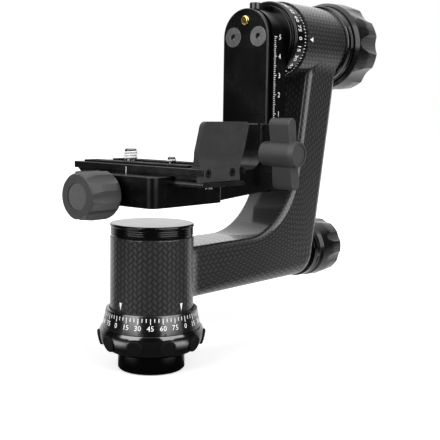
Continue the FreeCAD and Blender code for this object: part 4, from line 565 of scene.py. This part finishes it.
def threaded(piece, side, radius, pitch, top):
    """Cuts the piece's stud down to its root and winds a thread on it."""
    depth = THREAD_DEPTH * pitch
    thin_stud(piece, side, (radius - depth) / radius)
    bpy.ops.mesh.primitive_circle_add(vertices=3, radius=MM,
                                      rotation=(math.pi / 2, math.pi / 2, 0))
    ridge = bpy.context.object
    bpy.ops.object.transform_apply()
    ridge.scale = (depth / TRIANGLE_TALL, 1, THREAD_HALF_WIDTH * pitch / TRIANGLE_HALF)
    bpy.ops.object.transform_apply()
    edit_all()
    bpy.ops.transform.translate(value=((radius - depth / TRIANGLE_TALL) * MM, 0,
                                       (STUD_FOOT + pitch * 0.5) * MM))
    done()
    turns = max(1, int((top - STUD_FOOT) / pitch) - 1)
    apply_modifier(ridge, "SCREW", axis="Z", screw_offset=pitch * MM, iterations=turns,
                   steps=THREAD_STEPS, render_steps=THREAD_STEPS)
    ridge.location = (0, side * MM, 0)
    bpy.ops.object.transform_apply()
    edit_all()
    bpy.ops.mesh.remove_doubles(threshold=THREAD_WELD)
    bpy.ops.mesh.fill_holes(sides=3)
    bpy.ops.mesh.select_all(action="SELECT")
    bpy.ops.mesh.normals_make_consistent(inside=False)
    done()
    bpy.ops.object.select_all(action="DESELECT")
    ridge.select_set(True)
    piece.select_set(True)
    bpy.context.view_layer.objects.active = piece
    bpy.ops.object.join()
    bpy.ops.object.shade_smooth_by_angle(angle=SMOOTH)


def round_a_tube(turn, radius, run, braid):
    """Cells of the braid on a tube: a whole even number round it, and others along it."""
    cells = round(2 * math.pi * radius / braid[0] / 2) * 2
    return turn / (2 * math.pi) * cells, run / braid[1]


def on_the_limb(place):
    """Cells of the braid along the level limb, round its crook and up the leaning upright,
    unrolled from the limb's inner side over its flanks."""
    turn_end = math.pi / 2 - LEAN
    middle = CROOK_R + LIMB_HALF_THICK
    lean_out = Vector((math.cos(LEAN), 0, -math.sin(LEAN)))
    lean_up = Vector((math.sin(LEAN), 0, math.cos(LEAN)))
    flat = Vector((place.x, 0, place.z)) - Vector((CROOK_X, 0, CROOK_Z))
    swing = math.atan2(flat.x, -flat.z)
    if swing <= 0:
        run, depth = place.x, CROOK_Z - place.z - CROOK_R
    elif swing >= turn_end or flat.dot(lean_up) > 0:
        run = CROOK_X + turn_end * middle + flat.dot(lean_up)
        depth = flat.dot(lean_out) - CROOK_R
    else:
        run, depth = CROOK_X + swing * middle, flat.length - CROOK_R
    inward = max(0.0, LIMB_HALF_WIDTH - abs(place.y))
    across = depth - inward if depth < LIMB_HALF_THICK else depth + inward
    return across / LIMB_BRAID[0], run / LIMB_BRAID[1]


def braid_map(arm):
    """Lays the braid round the sleeve, along the limb, crook and upright, and round the
    housing. Its two numbers are cells across and along the braid."""
    mesh = arm.data
    layer = mesh.uv_layers.new(name="braid")
    for face in mesh.polygons:
        centre = face.center / MM
        from_housing = math.hypot(centre.y, centre.z - TILT_Z)
        on_sleeve = math.hypot(centre.x, centre.y) < SLEEVE_R + NEAR
        on_housing = from_housing < HOUSING_R + NEAR and centre.z > TILT_Z - HOUSING_R
        base_turn = math.atan2(centre.y, -centre.x)
        for corner in face.loop_indices:
            place = mesh.vertices[mesh.loops[corner].vertex_index].co / MM
            if on_sleeve:
                turn = math.atan2(place.y, -place.x)
                turn += 2 * math.pi * round((base_turn - turn) / (2 * math.pi))
                cells = round_a_tube(turn, SLEEVE_R, place.z, SLEEVE_BRAID)
            elif on_housing:
                turn = math.atan2(place.z - TILT_Z, -place.y)
                cells = round_a_tube(turn, HOUSING_R, place.x, HOUSING_BRAID)
            else:
                cells = on_the_limb(place)
            layer.data[corner].uv = cells


# ------------------------------------------------------------------ printed marks

def raised(piece):
    """Gives a flat mark its thickness, half sunk in the surface that it will lie on."""
    only(piece)
    edit_all()
    bpy.ops.mesh.extrude_region_move(TRANSFORM_OT_translate={"value": (0, 0, MARK_DEPTH * MM)})
    bpy.ops.mesh.select_all(action="SELECT")
    bpy.ops.transform.translate(value=(0, 0, -MARK_DEPTH / 2 * MM))
    bpy.ops.mesh.normals_make_consistent(inside=False)
    done()
    return piece


def bar():
    """A tick, one millimetre wide and high, its top edge on the origin."""
    bpy.ops.mesh.primitive_plane_add(size=MM, location=(0, -MM / 2, 0))
    bpy.ops.object.transform_apply()
    return raised(bpy.context.object)


def arrow():
    """A pointer, one millimetre wide and high, its middle on the origin, its point up."""
    bpy.ops.mesh.primitive_circle_add(vertices=3, radius=MM, fill_type="NGON",
                                      location=(0, -MM / 4, 0))
    bpy.context.object.scale = (1 / math.sqrt(3), 1 / TRIANGLE_TALL, 1)
    bpy.ops.object.transform_apply()
    return raised(bpy.context.object)


def digit(sign):
    """A numeral, one millimetre high, its middle on the origin, as a thin solid."""
    bpy.ops.object.text_add(location=(0, 0, 0))
    words = bpy.context.object
    words.data.body = sign
    words.data.size = MM
    words.data.extrude = MARK_DEPTH / 2 * MM
    words.data.resolution_u = 2
    bpy.ops.object.convert(target="MESH")
    piece = bpy.context.object
    low, high = [Vector(end(v.co[i] for v in piece.data.vertices) for i in range(3))
                 for end in (min, max)]
    height = (high.y - low.y) / MM
    piece.scale = (1 / height, 1 / height, 1)
    piece.location = (-(low.x + high.x) / 2 / height, -(low.y + high.y) / 2 / height, 0)
    bpy.ops.object.transform_apply()
    edit_all()
    bpy.ops.mesh.remove_doubles(threshold=NUMERAL_WELD)
    done()
    return piece


def facing(spot, up, out):
    """The place of a mark on a surface: its top towards up and its face towards out."""
    turn = Matrix((up.cross(out), up, out)).transposed().to_4x4()
    return Matrix.Translation(spot * MM) @ turn


def printed(mark, place, width, height):
    """A copy of the mark with a mesh of its own, at its size and place."""
    copy = mark.copy()
    copy.data = mark.data.copy()
    scene.collection.objects.link(copy)
    copy.matrix_world = place @ Matrix.Diagonal((width, height, 1, 1))
    return copy


def number(value, height, place):
    """The numerals of a value side by side, each set on the surface at its own shift."""
    signs = str(value)
    half = (len(signs) - 1) / 2
    return [printed(numerals[sign], place((i - half) * height * NUMERAL_PITCH), height, height)
            for i, sign in enumerate(signs)]


def laid(name, marks, body):
    """Joins marks into one painted piece that rides on a body."""
    bpy.ops.object.select_all(action="DESELECT")
    for mark in marks:
        mark.select_set(True)
    piece = marks[0]
    bpy.context.view_layer.objects.active = piece
    if len(marks) > 1:
        bpy.ops.object.join()
    bpy.ops.object.transform_apply()
    piece.name = name
    piece.data.materials.clear()
    piece.data.materials.append(finishes["marks"])
    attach(piece, body)


def on_cone(spot, away, along, slope):
    """The place of a mark on a cone that narrows by slope towards along."""
    return facing(spot, along * math.cos(slope) - away * math.sin(slope),
                  away * math.cos(slope) + along * math.sin(slope))


def on_pan_ring(turn, height, shift=0.0):
    slope = math.atan2(PAN_RING_R - PAN_RING_TOP_R, PAN_RING_H)
    radius = PAN_RING_R - (height - PAN_RING_Z) * math.tan(slope)
    turn = math.radians(turn) + shift / radius
    away = Vector((math.cos(turn), math.sin(turn), 0))
    return on_cone(away * radius + UP * height, away, UP, slope)


def on_tilt_ring(turn, x, radius, slope=0.0, shift=0.0):
    turn = math.radians(turn) + shift / radius
    away = Vector((0, -math.cos(turn), -math.sin(turn)))
    return on_cone(Vector((x, 0, TILT_Z)) + away * radius, away, ALONG, slope)


def on_rail(x, z, up):
    return facing(Vector((x, RAIL_SIDE, z)), up, NEAR_SIDE)


def on_sleeve(turn, height):
    turn = math.radians(turn)
    away = Vector((math.cos(turn), math.sin(turn), 0))
    return facing(away * SLEEVE_R + UP * height, -UP, away)


def round_scale(name, body, tick_size, tick_place, number_height, number_place):
    """Degrees round a ring, four times nought to ninety, with a tick every five."""
    width, long, short = tick_size
    marks = []
    for step in range(360 // TICK_TURN):
        turn = step * TICK_TURN
        numbered = step % TICKS_TO_A_NUMBER == 0
        marks.append(printed(tick, tick_place(turn), width, long if numbered else short))
        if numbered:
            marks += number(turn % NUMBERS_END, number_height,
                            lambda shift: number_place(turn, shift))
    laid(name, marks, body)


def pan_scale():
    """The ticks reach down from the ring's top edge, with the numbers below them."""
    def at_its_edge(turn):
        return on_pan_ring(turn + PAN_PHASE, PAN_TICK_TOP)

    def below_them(turn, shift):
        return on_pan_ring(turn + PAN_PHASE, PAN_NUMBER_Z, shift)

    round_scale("pan_scale_marks", "base", PAN_TICK, at_its_edge, PAN_NUMBER, below_them)


def tilt_scale():
    """The ticks lie on the cone beside the housing, and the numbers on the ring's round."""
    def on_its_cone(turn):
        return on_tilt_ring(turn, TILT_TICK_X, TILT_TICK_R, slope=TILT_TICK_SLOPE)

    def on_its_round(turn, shift):
        return on_tilt_ring(turn, TILT_NUMBER_X, TILT_RING_R, shift=shift)

    round_scale("tilt_scale_marks", "swing", TILT_TICK, on_its_cone, TILT_NUMBER, on_its_round)


def rail_scale():
    """Lengths up the rail's side, in ten parts to each number."""
    width, long, middling, short = RAIL_TICK
    marks = []
    for step in range(RAIL_UNITS * RAIL_PARTS + 1):
        z = RAIL_ZERO + step * RAIL_UNIT / RAIL_PARTS
        whole, half = step % RAIL_PARTS == 0, step % (RAIL_PARTS // 2) == 0
        length = long if whole else middling if half else short
        marks.append(printed(tick, on_rail(RAIL_TICK_X, z, -ALONG), width, length))
        if whole and step:
            marks += number(step // RAIL_PARTS, RAIL_NUMBER,
                            lambda shift: on_rail(RAIL_NUMBER_X + shift, z, UP))
    laid("rail_scale_marks", marks, "swing")


def index_marks():
    """Pointers on the carbon arm, two above the pan ring and one beside the tilt ring, and
    the line on the plate's side."""
    marks = [printed(pointer, on_sleeve(turn + PAN_PHASE, SLEEVE_POINTER_Z), *SLEEVE_POINTER)
             for turn in SLEEVE_POINTER_TURNS]
    beside = facing(Vector((HOUSING_POINTER_X, -HOUSING_R, TILT_Z)), -ALONG, NEAR_SIDE)
    marks.append(printed(pointer, beside, *HOUSING_POINTER))
    laid("arm_index_marks", marks, "arm")
    edge = facing(Vector((PLATE_SIDE, PLATE_MARK_Y, PLATE_TOP - PLATE_MARK_DROP)), UP, -ALONG)
    laid("plate_index_mark", [printed(tick, edge, *PLATE_MARK)], "plate")


# ------------------------------------------------------------------ build

bpy.ops.object.select_all(action="DESELECT")
ahead, right = set_camera()
level_ahead = Vector((ahead.x, ahead.y, 0)).normalized()
set_world()
set_floor()
softbox("softbox_left", turn=-45, rise=25, distance=1.3, size=(1.0, 1.15), glow=4.2)
softbox("softbox_right", turn=52, rise=25, distance=1.3, size=(1.3, 1.15), glow=3.6)

for node, item in frame["nodes"].items():
    for place in item.material_slots:
        place.material = finishes[SLOT_FINISH[slot_of[node]]]

pieces = {node: dressed(node, OWN_EDGE.get(node, EDGE)) for node in FINISH_OF}
braid_map(pieces["arm_shell"])
for node, stud in STUDS.items():
    threaded(pieces[node], *stud)

tick, pointer = bar(), arrow()
numerals = {sign: digit(sign) for sign in "0123456789"}
pan_scale()
tilt_scale()
rail_scale()
index_marks()
for mark in (tick, pointer, *numerals.values()):
    bpy.data.objects.remove(mark)

scene.view_settings.view_transform = "Standard"
